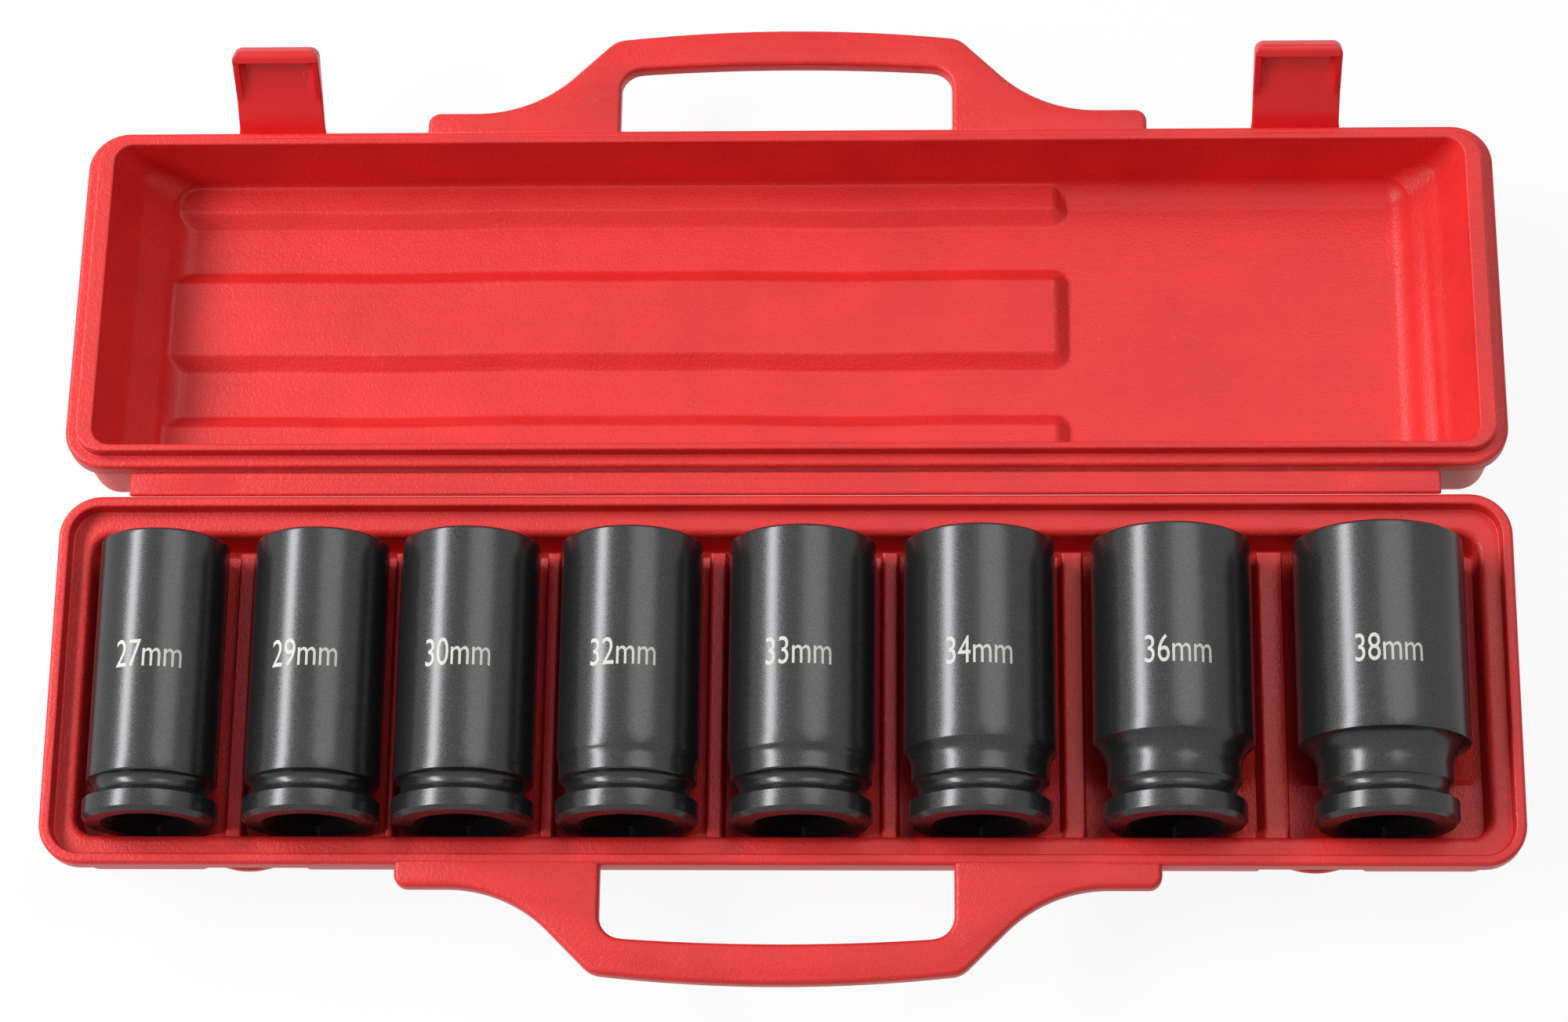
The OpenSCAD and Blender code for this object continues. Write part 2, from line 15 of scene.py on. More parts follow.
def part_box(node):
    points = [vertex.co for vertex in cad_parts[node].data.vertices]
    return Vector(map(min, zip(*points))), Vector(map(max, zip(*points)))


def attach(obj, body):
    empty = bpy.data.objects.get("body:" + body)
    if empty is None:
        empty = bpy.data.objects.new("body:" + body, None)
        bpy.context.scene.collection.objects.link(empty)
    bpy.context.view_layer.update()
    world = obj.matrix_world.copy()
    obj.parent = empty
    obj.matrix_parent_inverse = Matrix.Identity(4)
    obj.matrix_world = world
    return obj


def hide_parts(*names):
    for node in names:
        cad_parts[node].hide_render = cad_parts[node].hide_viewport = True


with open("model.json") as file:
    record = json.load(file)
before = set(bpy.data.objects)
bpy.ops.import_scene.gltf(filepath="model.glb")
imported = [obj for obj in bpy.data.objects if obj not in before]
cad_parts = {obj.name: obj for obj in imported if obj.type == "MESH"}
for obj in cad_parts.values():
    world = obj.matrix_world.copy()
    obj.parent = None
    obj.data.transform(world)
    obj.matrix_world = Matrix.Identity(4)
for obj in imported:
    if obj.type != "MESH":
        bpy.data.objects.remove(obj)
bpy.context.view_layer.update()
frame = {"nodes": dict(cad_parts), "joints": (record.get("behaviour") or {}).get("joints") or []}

# ---------------------------------------------------------------------------------------- sizes

MM = 0.001
base_low, base_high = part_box("base_outer_shell")
CASE_LEN = (base_high.x - base_low.x) / MM
CASE_DEP = (base_high.y - base_low.y) / MM
BASE_H = base_high.z / MM
HALF_LEN, HALF_DEP = CASE_LEN / 2, CASE_DEP / 2
CORNER_R = 13.0
EDGE_R = 6.0
FLANGE_T = 6.5
FLANGE_ROUND = 1.3
WALL_IN, BASE_LEAN, LID_LEAN = 2.6, 4.2, 1.6
LID_H = 35.0
RIM_W = 3.5
LEDGE_Z = BASE_H - 5.0

FLOOR_IN = 14.0  # inset of the innermost ring of an outer face
FOOT_R, UNDER_R, RIM_R = 0.8, 0.9, 0.8  # roundings where a wall meets the flange and at the rim

# Socket tray
WELL_HALF = HALF_LEN - RIM_W - 7.0
WELL_FRONT = -HALF_DEP + RIM_W + 6.75
WELL_REAR = HALF_DEP - RIM_W - 8.25
WELL_R, LIP_R = 6.0, 2.5
DIVIDER_Z = LEDGE_Z - 4.0
DIVIDER_SIDE = 5.0
DIVIDER_SHARE = 0.6
TROUGH_DEP = 11.0
CRADLE_PLAY = 0.4

# Lid inside
TONGUE_IN, TONGUE_H = RIM_W + 0.4, 4.0
HOLLOW_HALF_X = HALF_LEN - TONGUE_IN - 5.6
HOLLOW_HALF_Y = HALF_DEP - TONGUE_IN - 2.5
LID_FLOOR = -28.0
FLOOR_R = 9.0
END_SLOPE, END_BULGE, SIDE_SLOPE = 17.0, 2.0, 1.2
RIB_H, RIB_SLOPE, RIB_R = 3.75, 5.8, 6.0
RIB_FRONT_W, RIB_SPACE, RIB_MID_W = 16.0, 15.0, 36.5

# Handles
HANDLE_REACH, GRIP_DEP, GRIP_LEN, HANDLE_T = 36.8, 12.5, 108.0, 6.3
FOOT_OUT, FOOT_REACH, SWEEP_R = 117.0, 7.0, 44.0

# Latches and hinge
LATCH_OUT, LATCH_W, LATCH_T, LATCH_LIFT = 165.0, 28.0, 2.0, 49.0
HOOK_END, HOOK_T, HOOK_TOP = 29.6, 4.0, 4.75
GUSSET_RUN, LATCH_CORNER = 14.1, 2.5
LATCH_FOLD_IN, FOLD_OUT = 3.2, 1.3
BAY_HALF, BAY_IN = 15.6, 6.2
WEB_LEN, WEB_T, FOLD_R = 412.0, 1.4, 1.0
BASE_FOLD_IN, LID_FOLD_IN = 1.6, 4.0

# Hexagon, body diameter, hub diameter, band diameter and start of the body of each socket
SOCKETS = {
    27: (40.0, 41.5, 40.0, 13.0),
    29: (41.5, 42.5, 41.5, 13.0),
    30: (43.0, 44.0, 43.0, 13.0),
    32: (44.0, 44.0, 42.5, 20.5),
    33: (45.5, 44.0, 43.5, 20.5),
    34: (47.0, 44.0, 42.5, 22.5),
    36: (49.5, 44.0, 41.0, 25.0),
    38: (52.5, 44.0, 41.0, 25.0),
}
SOCKET_LEN, DRIVE_SQ, DRIVE_DEP, HEX_DEP = 90.0, 19.05, 22.0, 42.0
HUB_LEN, GROOVE_R, BAND_W, HUB_CHAMFER, MOUTH_CHAMFER = 7.0, 3.0, 4.5, 1.5, 1.1


def joint(name):
    return next(j for j in frame["joints"] if j["name"] == name)


# The lid's tilt and its fold line come from the joints
WEB_FOLD = Vector(joint("web_fold")["pos_m"]) / MM
LID_FOLD = Vector(joint("lid_fold")["pos_m"]) / MM
LID_TILT = radians(-joint("lid_fold")["range_deg"][0] - 90)
LID_PLACE = (Matrix.Translation(LID_FOLD) @ Matrix.Rotation(-LID_TILT, 4, "X")
             @ Matrix.Translation((0, FOLD_OUT + HALF_DEP, LID_FOLD_IN)))


def socket_place(size):
    """X of a socket's axis and Y of its drive end, from its fixed part."""
    low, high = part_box(f"socket_{size}mm")
    return (low.x + high.x) / 2 / MM, low.y / MM


SOCKET_X = {size: socket_place(size)[0] for size in SOCKETS}
DRIVE_Y = socket_place(27)[1]

# ------------------------------------------------------------------------------- mesh functions


def new_object(name, data):
    """An object in the scene's own collection."""
    made = bpy.data.objects.new(name, data)
    bpy.context.scene.collection.objects.link(made)
    return made


def applied(piece):
    """The mesh of a piece after its modifiers, which are then gone."""
    graph = bpy.context.evaluated_depsgraph_get()
    mesh = bpy.data.meshes.new_from_object(piece.evaluated_get(graph))
    piece.modifiers.clear()
    piece.data = mesh
    return mesh


def finished(name, points, faces, material, body, replaces=(), place=None, flat=30):
    """A finished piece from points in millimetres; place puts it in the row's frame."""
    points = np.asarray(points, float)
    if place is not None:
        turn = np.array(place.to_3x3())
        points = points @ turn.T + np.array(place.translation)
    mesh = bpy.data.meshes.new(name)
    mesh.from_pydata((points * MM).tolist(), [], faces)
    mesh.validate()
    mesh.materials.append(material)
    mesh.shade_smooth()
    mesh.set_sharp_from_angle(angle=radians(flat))
    piece = new_object(name, mesh)
    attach(piece, body)
    if replaces:
        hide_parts(*replaces)


def arc(x, y, r, start, end, steps=6):
    """Points on an arc, angles in degrees."""
    turns = np.radians(np.linspace(start, end, steps + 1))
    return [(x + r * cos(a), y + r * sin(a)) for a in turns]


def rounded(path, steps=4):
    """A path of (a, z, radius) rows with its corners rounded, as (a, z) rows."""
    out = []
    for k, (a, z, r) in enumerate(path):
        here = Vector((a, z))
        if r == 0 or k in (0, len(path) - 1):
            out.append((a, z))
            continue
        back = (Vector(path[k - 1][:2]) - here).normalized()
        on = (Vector(path[k + 1][:2]) - here).normalized()
        half = back.angle(on) / 2
        run = r / tan(half)
        middle = here + (back + on).normalized() * (r / sin(half))
        start, end = here + back * run - middle, here + on * run - middle
        hold = min(0.3, r / 2)
        out.append(tuple(here + back * (run + hold)))
        for s in range(steps + 1):
            spoke = start.lerp(end, s / steps)
            out.append(tuple(middle + spoke.normalized() * r))
        out.append(tuple(here + on * (run + hold)))
    return out


CORNER_STEPS = 10  # even, so that a corner's middle is a point
KEEP = 9.0  # length beside a corner over which stations are squeezed from ring to ring


def along(stations, half, new_half):
    """Stations on a straight side, squeezed near its ends to fit another length."""
    stations = np.asarray(stations)
    keep = half - KEEP
    outer = np.abs(stations) > keep
    squeezed = keep + (np.abs(stations) - keep) * (new_half - keep) / (half - keep)
    return np.where(outer, np.sign(stations) * squeezed, stations)


def ring(stations, half_x, low_y, high_y, r, z):
    """Rounded rectangle of points that starts at the middle of its front left corner."""
    (xs, long_half), (ys, short_half) = stations
    mid = (low_y + high_y) / 2
    x = along(xs, long_half, half_x - r)
    y = along(ys, short_half, (high_y - low_y) / 2 - r) + mid
    near, far, out = low_y + r, high_y - r, half_x - r
    n = CORNER_STEPS // 2
    full = CORNER_STEPS
    points = arc(-out, near, r, 225, 270, n)[:-1]
    points += [(v, low_y) for v in x]
    points += arc(out, near, r, -90, 0, full)[1:-1]
    points += [(half_x, v) for v in y]
    points += arc(out, far, r, 0, 90, full)[1:-1]
    points += [(v, high_y) for v in x[::-1]]
    points += arc(-out, far, r, 90, 180, full)[1:-1]
    points += [(-half_x, v) for v in y[::-1]]
    points += arc(-out, near, r, 180, 225, n)[1:-1]
    flat = np.array(points)
    return np.column_stack([flat, np.broadcast_to(z, len(flat))])


def even_ring(stations, half_x, half_y, r, z):
    return ring(stations, half_x, -half_y, half_y, r, z)


def patch_inside(edge, stations):
    """Grid of points inside a ring, blended between its four sides."""
    across = len(stations[0][0]) - 1 + CORNER_STEPS
    up = len(stations[1][0]) - 1 + CORNER_STEPS
    count = len(edge)
    front = edge[:across + 1]
    right = edge[across:across + up + 1]
    rear = edge[across + up:2 * across + up + 1][::-1]
    left = np.concatenate([edge[2 * across + up:], edge[:1]])[::-1]
    u = ((front[:, 0] - front[0, 0]) / (front[-1, 0] - front[0, 0]))[:, None, None]
    v = ((left[:, 1] - left[0, 1]) / (left[-1, 1] - left[0, 1]))[None, :, None]
    blend = ((1 - v) * front[:, None] + v * rear[:, None] + (1 - u) * left[None] + u * right[None]
             - (1 - u) * (1 - v) * front[0] - u * (1 - v) * front[-1]
             - (1 - u) * v * rear[0] - u * v * rear[-1])
    number = -np.ones((across + 1, up + 1), int)
    i, j = np.arange(across + 1), np.arange(up + 1)
    number[i, 0] = i
    number[across, j] = across + j
    number[i[::-1], up] = across + up + i
    number[0, j[::-1]] = (2 * across + up + j) % count
    return blend, number


def lofted(rings, stations, height=None):
    """Closed body from a pile of rings: a flat face under the first, a grid inside the last."""
    size = len(rings[0])
    points = np.concatenate(rings)
    faces = [list(range(size))[::-1]]
    k = np.arange(size)
    nxt = (k + 1) % size
    for r in range(len(rings) - 1):
        a, b = r * size, (r + 1) * size
        faces += np.column_stack([a + k, a + nxt, b + nxt, b + k]).tolist()
    blend, number = patch_inside(rings[-1], stations)
    last = (len(rings) - 1) * size
    inner = number < 0
    number = np.where(inner, 0, number + last)
    number[inner] = len(points) + np.arange(inner.sum())
    fresh = blend[inner]
    if height is not None:
        fresh[:, 2] = height(fresh[:, 0], fresh[:, 1])
    points = np.concatenate([points, fresh])
    quads = np.stack([number[:-1, :-1], number[1:, :-1], number[1:, 1:], number[:-1, 1:]], -1)
    faces += quads.reshape(-1, 4).tolist()
    return points, faces


def spread(low, high, step, extra=()):
    """Stations from low to high about a step apart, with extra ones."""
    plain = np.linspace(low, high, max(2, round((high - low) / step) + 1))
    every = np.concatenate([plain, [e for e in extra if low < e < high]])
    every = np.unique(np.round(every, 3))
    keep = np.concatenate([[True], np.diff(every) > 0.04])
    every = every[keep]
    every[-1] = high
    return every


def between(a, b, share):
    return a + (b - a) * share


def drop(past, deep, r=1.4, run=0.5):
    """How far a surface has dropped at a distance past an edge that is rounded by r."""
    on_edge = r - np.sqrt(np.clip(r * r - np.clip(past + r, 0, r) ** 2, 0, None))
    side = r + (deep - r) * np.clip(past / run, 0, 1)
    return np.where(past <= 0, on_edge, side)


def soft_max(a, b, k):
    """The larger of two heights, blended over about k where they cross."""
    h = np.clip(0.5 + 0.5 * (a - b) / k, 0, 1)
    return b + (a - b) * h + k * h * (1 - h)


# ------------------------------------------------------------------------------- shader helpers


def shader_group(name, inputs, outputs):
    """An empty shader group with named float inputs and outputs of given kinds."""
    tree = bpy.data.node_groups.new(name, "ShaderNodeTree")
    for label, value in inputs.items():
        socket = tree.interface.new_socket(label, in_out="INPUT", socket_type="NodeSocketFloat")
        socket.default_value = value
    for label, kind in outputs.items():
        tree.interface.new_socket(label, in_out="OUTPUT", socket_type=kind)
    return tree, tree.nodes.new("NodeGroupInput"), tree.nodes.new("NodeGroupOutput")


def add_node(tree, kind, links=None, **settings):
    """A node with its settings; links maps an input's name or number to a socket or a value."""
    node = tree.nodes.new(kind)
    for key, value in settings.items():
        setattr(node, key, value)
    for key, value in (links or {}).items():
        if isinstance(value, bpy.types.NodeSocket):
            tree.links.new(value, node.inputs[key])
        else:
            node.inputs[key].default_value = value
    return node


def math_node(tree, operation, *values):
    node = add_node(tree, "ShaderNodeMath", dict(enumerate(values)), operation=operation)
    return node.outputs[0]


def times(tree, a, b):
    return math_node(tree, "MULTIPLY", a, b)


def plus(tree, a, b):
    return math_node(tree, "ADD", a, b)


def noise(tree, vector, scale, detail, **more):
    links = {"Vector": vector, "Scale": scale, "Detail": detail} | more
    return add_node(tree, "ShaderNodeTexNoise", links).outputs["Fac"]


def mixed(tree, factor, first, second):
    """Blend of two colours."""
    links = {"Factor": factor, "A": first, "B": second}
    return add_node(tree, "ShaderNodeMix", links, data_type="RGBA").outputs["Result"]


def ramp(tree, factor, low, high, to_low=0.0, to_high=1.0):
    """Maps a value between low and high to a clamped range."""
    links = {"Value": factor, "From Min": low, "From Max": high, "To Min": to_low, "To Max": to_high}
    return add_node(tree, "ShaderNodeMapRange", links).outputs["Result"]


def moulded_grain_group():
    """Fine grain of a blow moulding: a height, a brightness and a roughness that vary."""
    inputs = {"Grain": 1700.0, "Flow": 40.0, "Streak": 0.5}
    outputs = {"Height": "NodeSocketFloat", "Tone": "NodeSocketFloat", "Dull": "NodeSocketFloat"}
    tree, given, result = shader_group("moulded_grain", inputs, outputs)
    place = add_node(tree, "ShaderNodeTexCoord").outputs["Object"]
    grain, flow_scale = given.outputs["Grain"], given.outputs["Flow"]
    fine = noise(tree, place, grain, 2.0, Roughness=0.55)
    pebble = add_node(tree, "ShaderNodeTexVoronoi",
                      {"Vector": place, "Scale": times(tree, grain, 0.55)},
                      feature="SMOOTH_F1").outputs["Distance"]
    flow = noise(tree, place, flow_scale, 3.0)
    stretched = add_node(tree, "ShaderNodeMapping", {"Vector": place, "Scale": (0.08, 1.0, 1.0)})
    streak = noise(tree, stretched.outputs[0], times(tree, flow_scale, 9.0), 2.0)
    height = plus(tree, fine, times(tree, pebble, 0.5))
    lines = times(tree, math_node(tree, "SUBTRACT", streak, 0.5), given.outputs["Streak"])
    tone = plus(tree, flow, lines)
    tree.links.new(height, result.inputs["Height"])
    tree.links.new(tone, result.inputs["Tone"])
    dull = plus(tree, times(tree, fine, 0.6), times(tree, flow, 0.4))
    tree.links.new(dull, result.inputs["Dull"])
    return tree


def wear_group():
    """Small rubs and scratches: a mask that is mostly nothing."""
    inputs = {"Scale": 60.0, "Amount": 0.5}
    tree, given, result = shader_group("rubs", inputs, {"Mask": "NodeSocketFloat"})
    place = add_node(tree, "ShaderNodeTexCoord").outputs["Object"]
    patches = noise(tree, place, given.outputs["Scale"], 4.0, Roughness=0.65)
    specks = noise(tree, place, times(tree, given.outputs["Scale"], 22.0), 1.0)
    mask = times(tree, ramp(tree, patches, 0.55, 0.75), ramp(tree, specks, 0.6, 0.75))
    tree.links.new(times(tree, mask, given.outputs["Amount"]), result.inputs["Mask"])
    return tree


MOULDED_GRAIN = moulded_grain_group()
RUBS = wear_group()


def new_material(name):
    material = bpy.data.materials.new(name)
    material.use_nodes = True
    tree = material.node_tree
    return material, tree, tree.nodes["Principled BSDF"]


def grouped(tree, group, **values):
    node = add_node(tree, "ShaderNodeGroup", node_tree=group)
    for label, value in values.items():
        node.inputs[label].default_value = value
    return node


def moulded_plastic(name, dark, light, roughness, bump, grain):
    """Red polyethylene: base colour, roughness and fine bump all vary a little."""
    material, tree, shader = new_material(name)
    texture = grouped(tree, MOULDED_GRAIN, Grain=grain, Flow=38.0, Streak=0.3)
    rubs = grouped(tree, RUBS, Scale=55.0, Amount=0.35)
    colour = mixed(tree, ramp(tree, texture.outputs["Tone"], 0.3, 0.7), dark, light)
    worn = mixed(tree, rubs.outputs["Mask"], colour, (0.9, 0.25, 0.22, 1))
    tree.links.new(worn, shader.inputs["Base Color"])
    tree.links.new(ramp(tree, texture.outputs["Dull"], 0.3, 0.7, roughness - 0.05, roughness + 0.07),
                   shader.inputs["Roughness"])
    relief = add_node(tree, "ShaderNodeBump", {"Height": texture.outputs["Height"],
                                               "Strength": bump, "Distance": 0.0003})
    tree.links.new(relief.outputs[0], shader.inputs["Normal"])
    return material


def satin_steel(name):
    """Black phosphated steel: a dark sheen with fine sparkle, turning marks and a little wear."""
    material, tree, shader = new_material(name)
    place = add_node(tree, "ShaderNodeTexCoord").outputs["Object"]
    sparkle = noise(tree, place, 2600.0, 2.0, Roughness=0.7)
    around = add_node(tree, "ShaderNodeMapping", {"Vector": place, "Scale": (0.03, 1.0, 0.03)})
    turned = noise(tree, around.outputs[0], 2200.0, 2.0)
    rubs = grouped(tree, RUBS, Scale=70.0, Amount=0.4)
    tone = mixed(tree, ramp(tree, sparkle, 0.3, 0.7),
                 (0.030, 0.030, 0.031, 1), (0.067, 0.067, 0.070, 1))
    worn = mixed(tree, rubs.outputs["Mask"], tone, (0.1, 0.1, 0.1, 1))
    tree.links.new(worn, shader.inputs["Base Color"])
    shader.inputs["Metallic"].default_value = 0.75
    tree.links.new(ramp(tree, sparkle, 0.3, 0.7, 0.22, 0.31), shader.inputs["Roughness"])
    both = plus(tree, sparkle, times(tree, turned, 0.6))
    relief = add_node(tree, "ShaderNodeBump", {"Height": both, "Strength": 0.3,
                                               "Distance": 0.00003})
    tree.links.new(relief.outputs[0], shader.inputs["Normal"])
    return material


def mark_paint():
    """Pale etched marks, slightly uneven."""
    material, tree, shader = new_material("etched_mark")
    rubs = grouped(tree, RUBS, Scale=260.0, Amount=0.6)
    tone = mixed(tree, rubs.outputs["Mask"], (0.66, 0.65, 0.60, 1), (0.35, 0.34, 0.32, 1))
    tree.links.new(tone, shader.inputs["Base Color"])
    shader.inputs["Roughness"].default_value = 0.6
    return material


CASE_RED = moulded_plastic("case_red", (0.66, 0.018, 0.018, 1), (0.76, 0.024, 0.022, 1),
                           0.44, 0.55, 1500.0)
# The latches are moulded in one with the case. Their smoother finish (lower roughness and bump) is
# their own, but their deeper, more saturated red is painted shade: a shaded copy of the case's red.
LATCH_SHADED_RED = moulded_plastic("latch_red_painted_shade", (0.68, 0.009, 0.012, 1), (0.74, 0.012, 0.015, 1),
                            0.38, 0.2, 1300.0)
SOCKET_BLACK = satin_steel("socket_black")
MARK_GREY = mark_paint()

# ------------------------------------------------------------------------------------- the base

SIZES = list(SOCKETS)
BODY_EDGES = [(SOCKET_X[s] - SOCKETS[s][0] / 2, SOCKET_X[s] + SOCKETS[s][0] / 2) for s in SIZES]
PAST_WELL = 3.0  # how far an end pocket reaches past the well
MOUTH_GAP = 0.4  # from a socket's mouth to the trough
POCKET_R, SIDE_RUN = 1.25, 0.45


def pocket_edges(k):
    """X of both edges of pocket k at the dividers' tops."""
    share = (1 - DIVIDER_SHARE) / 2
    low, high = BODY_EDGES[k]
    if k == 0:
        low = -WELL_HALF - PAST_WELL
    else:
        low -= (low - BODY_EDGES[k - 1][1]) * share
    if k == len(SIZES) - 1:
        high = WELL_HALF + PAST_WELL
    else:
        high += (BODY_EDGES[k + 1][0] - high) * share
    return low, high


def tray_height(x, y):
    """Height of the tray inside the well: dividers, cradles and the trough at the rear."""
    z = np.full(x.shape, DIVIDER_Z)
    for k, size in enumerate(SIZES):
        body, hub, band, start = SOCKETS[size]
        low, high = pocket_edges(k)
        front_r = max(hub, band) / 2 + CRADLE_PLAY
        rear_r = body / 2 + CRADLE_PLAY
        step = DRIVE_Y + (HUB_LEN + 2 * GROOVE_R + BAND_W if rear_r > front_r else start)
        turn = np.clip((y - step) / 1.5 + 0.5, 0, 1)
        r = between(front_r, rear_r, turn)
        off = x - SOCKET_X[size]
        edge = np.where(off < 0, SOCKET_X[size] - low, high - SOCKET_X[size])
        past = edge - np.abs(off)
        low_x, low_z = r * sqrt(0.5), BASE_H - r * sqrt(0.5)
        knee_z = DIVIDER_Z - DIVIDER_SIDE
        slope = between(low_z, knee_z, np.clip((np.abs(off) - low_x) / (edge - low_x), 0, 1))
        cradle = BASE_H - np.sqrt(np.clip(r * r - off * off, 0, None))
        floor = np.where(np.abs(off) < low_x, cradle, slope)
        sunk = DIVIDER_Z - drop(past, np.maximum(DIVIDER_Z - floor, 1.5), POCKET_R, SIDE_RUN)
        z = np.where(past > -POCKET_R, np.minimum(z, sunk), z)
    beyond = y - (DRIVE_Y + SOCKET_LEN + MOUTH_GAP)
    return np.minimum(z, DIVIDER_Z - drop(beyond, TROUGH_DEP, POCKET_R, 0.6))


def base_stations():
    """Places along the straight sides: close together wherever the tray bends."""
    bends = (-1.25, -1.0, -0.75, -0.45, -0.2, 0.0, 0.25, 0.45, 0.9)
    extra = []
    for k in range(len(SIZES)):
        low, high = pocket_edges(k)
        extra += [low + b for b in bends] + [high - b for b in bends]
    for side in (-1, 1):
        for bay in (-BAY_HALF, BAY_HALF):
            extra += [side * LATCH_OUT + bay + b for b in (-1.5, -0.5, 0.5, 1.5)]
    half_x = WELL_HALF - WELL_R
    half_y = (WELL_REAR - WELL_FRONT) / 2 - WELL_R
    mid = (WELL_REAR + WELL_FRONT) / 2
    rear = DRIVE_Y + SOCKET_LEN + MOUTH_GAP - mid
    xs = spread(-half_x, half_x, 2.6, extra)
    ys = spread(-half_y, half_y, 2.2, [rear + b for b in (-1.2, -0.8, -0.4, 0.0, 0.3, 0.6)])
    return (xs, half_x), (ys, half_y)


def push_bays(points, under):
    """Pushes the front wall back behind each latch, and further towards the floor."""
    x, y, z = points.T
    for side in (-1, 1):
        inside = np.clip((BAY_HALF - np.abs(x - side * LATCH_OUT)) / 2.2 + 0.5, 0, 1)
        inside = inside * inside * (3 - 2 * inside)
        target = -HALF_DEP + (BAY_IN + 3 * np.clip((under - z) / under, 0, 1))
        y = np.where(y < target, between(y, target, inside), y)
    return np.column_stack([x, y, z])


def base_half():
    stations = base_stations()
    under = BASE_H - FLANGE_T
    outer = rounded([
        (WALL_IN + BASE_LEAN + FLOOR_IN, 0, 0),
        (WALL_IN + BASE_LEAN, 0, EDGE_R),
        (WALL_IN, under, FOOT_R),
        (0, under, UNDER_R),
        (0, BASE_H, FLANGE_ROUND),
        (RIM_W, BASE_H, RIM_R),
        (RIM_W + 0.15, LEDGE_Z, 0.7),
        (RIM_W + 2.4, LEDGE_Z, 0),
    ], 5)
    rings = []
    for inset, z in outer:
        points = even_ring(stations, HALF_LEN - inset, HALF_DEP - inset, max(CORNER_R - inset, 2.0), z)
        if z < under - 0.5 and inset < WALL_IN + BASE_LEAN + 2:
            points = push_bays(points, under)
        rings.append(points)
    well = rounded([(LIP_R + 1.2, LEDGE_Z, 0), (0, LEDGE_Z, LIP_R), (0, DIVIDER_Z, 0)], 7)
    for out, z in well:
        rings.append(ring(stations, WELL_HALF + out, WELL_FRONT - out, WELL_REAR + out,
                          WELL_R + out, z))
    for inset, share in ((0.05, 0.25), (0.1, 0.5), (0.15, 0.75), (0.3, 0.92), (0.8, 1.0)):
        points = ring(stations, WELL_HALF - inset, WELL_FRONT + inset, WELL_REAR - inset,
                      WELL_R - inset, 0)
        bottom = tray_height(points[:, 0], points[:, 1])
        points[:, 2] = between(DIVIDER_Z, bottom, share)
        rings.append(points)
    points, faces = lofted(rings, stations, tray_height)
    finished("base_half", points, faces, CASE_RED, "base", ("base_outer_shell", "socket_tray"))


# -------------------------------------------------------------------------------------- the lid

RIB_RIGHT = (pocket_edges(5)[1] + pocket_edges(6)[0]) / 2 + 1.5


def box_distance(x, y, low_x, high_x, low_y, high_y, r):
    """Distance inside a rounded rectangle, negative outside."""
    dx = np.abs(x - (low_x + high_x) / 2) - (high_x - low_x) / 2 + r
    dy = np.abs(y - (low_y + high_y) / 2) - (high_y - low_y) / 2 + r
    outside = np.hypot(np.maximum(dx, 0), np.maximum(dy, 0))
    return r - outside - np.minimum(np.maximum(dx, dy), 0)


def rib_height(x, y):
    """Height of the ribs above the lid's floor, with slightly wavy sides as moulded."""
    wave = 0.28 * np.sin(x / 27 + 0.6) + 0.16 * np.sin(x / 11.5)
    front = HOLLOW_HALF_Y - RIB_FRONT_W
    mid = front - RIB_SPACE
    rear = mid - RIB_MID_W
    wide = 2 * HOLLOW_HALF_Y
    total = np.zeros(x.shape)
    for low, high in ((front, wide), (rear, mid), (-wide, rear - RIB_SPACE)):
        inside = box_distance(x, y + wave, -2 * HALF_LEN, RIB_RIGHT, low, high, RIB_R)
        t = np.clip(inside / RIB_SLOPE, 0, 1)
        soft = 0.16
        eased = np.where(t < soft, t * t / (2 * soft),
                         np.where(t > 1 - soft, 1 - soft - (1 - t) ** 2 / (2 * soft), t - soft / 2))
        total = np.maximum(total, RIB_H * eased / (1 - soft))
    return total


def lid_height(x, y):
    return LID_FLOOR + rib_height(x, y)


def end_crease(x, y, z):
    """How far the right end wall is pushed out along a crease that narrows away from the hinge."""
    along_wall = np.clip((HOLLOW_HALF_Y - 4 - y) / (2 * HOLLOW_HALF_Y), 0, 1)
    at_end = np.clip((x - HOLLOW_HALF_X + END_SLOPE + 8) / 4, 0, 1)
    high = np.clip(1 - np.abs(z + 17.5) / (1.2 + 2.2 * along_wall), 0, 1)
    return 1.5 * along_wall * at_end * high * high * (3 - 2 * high)


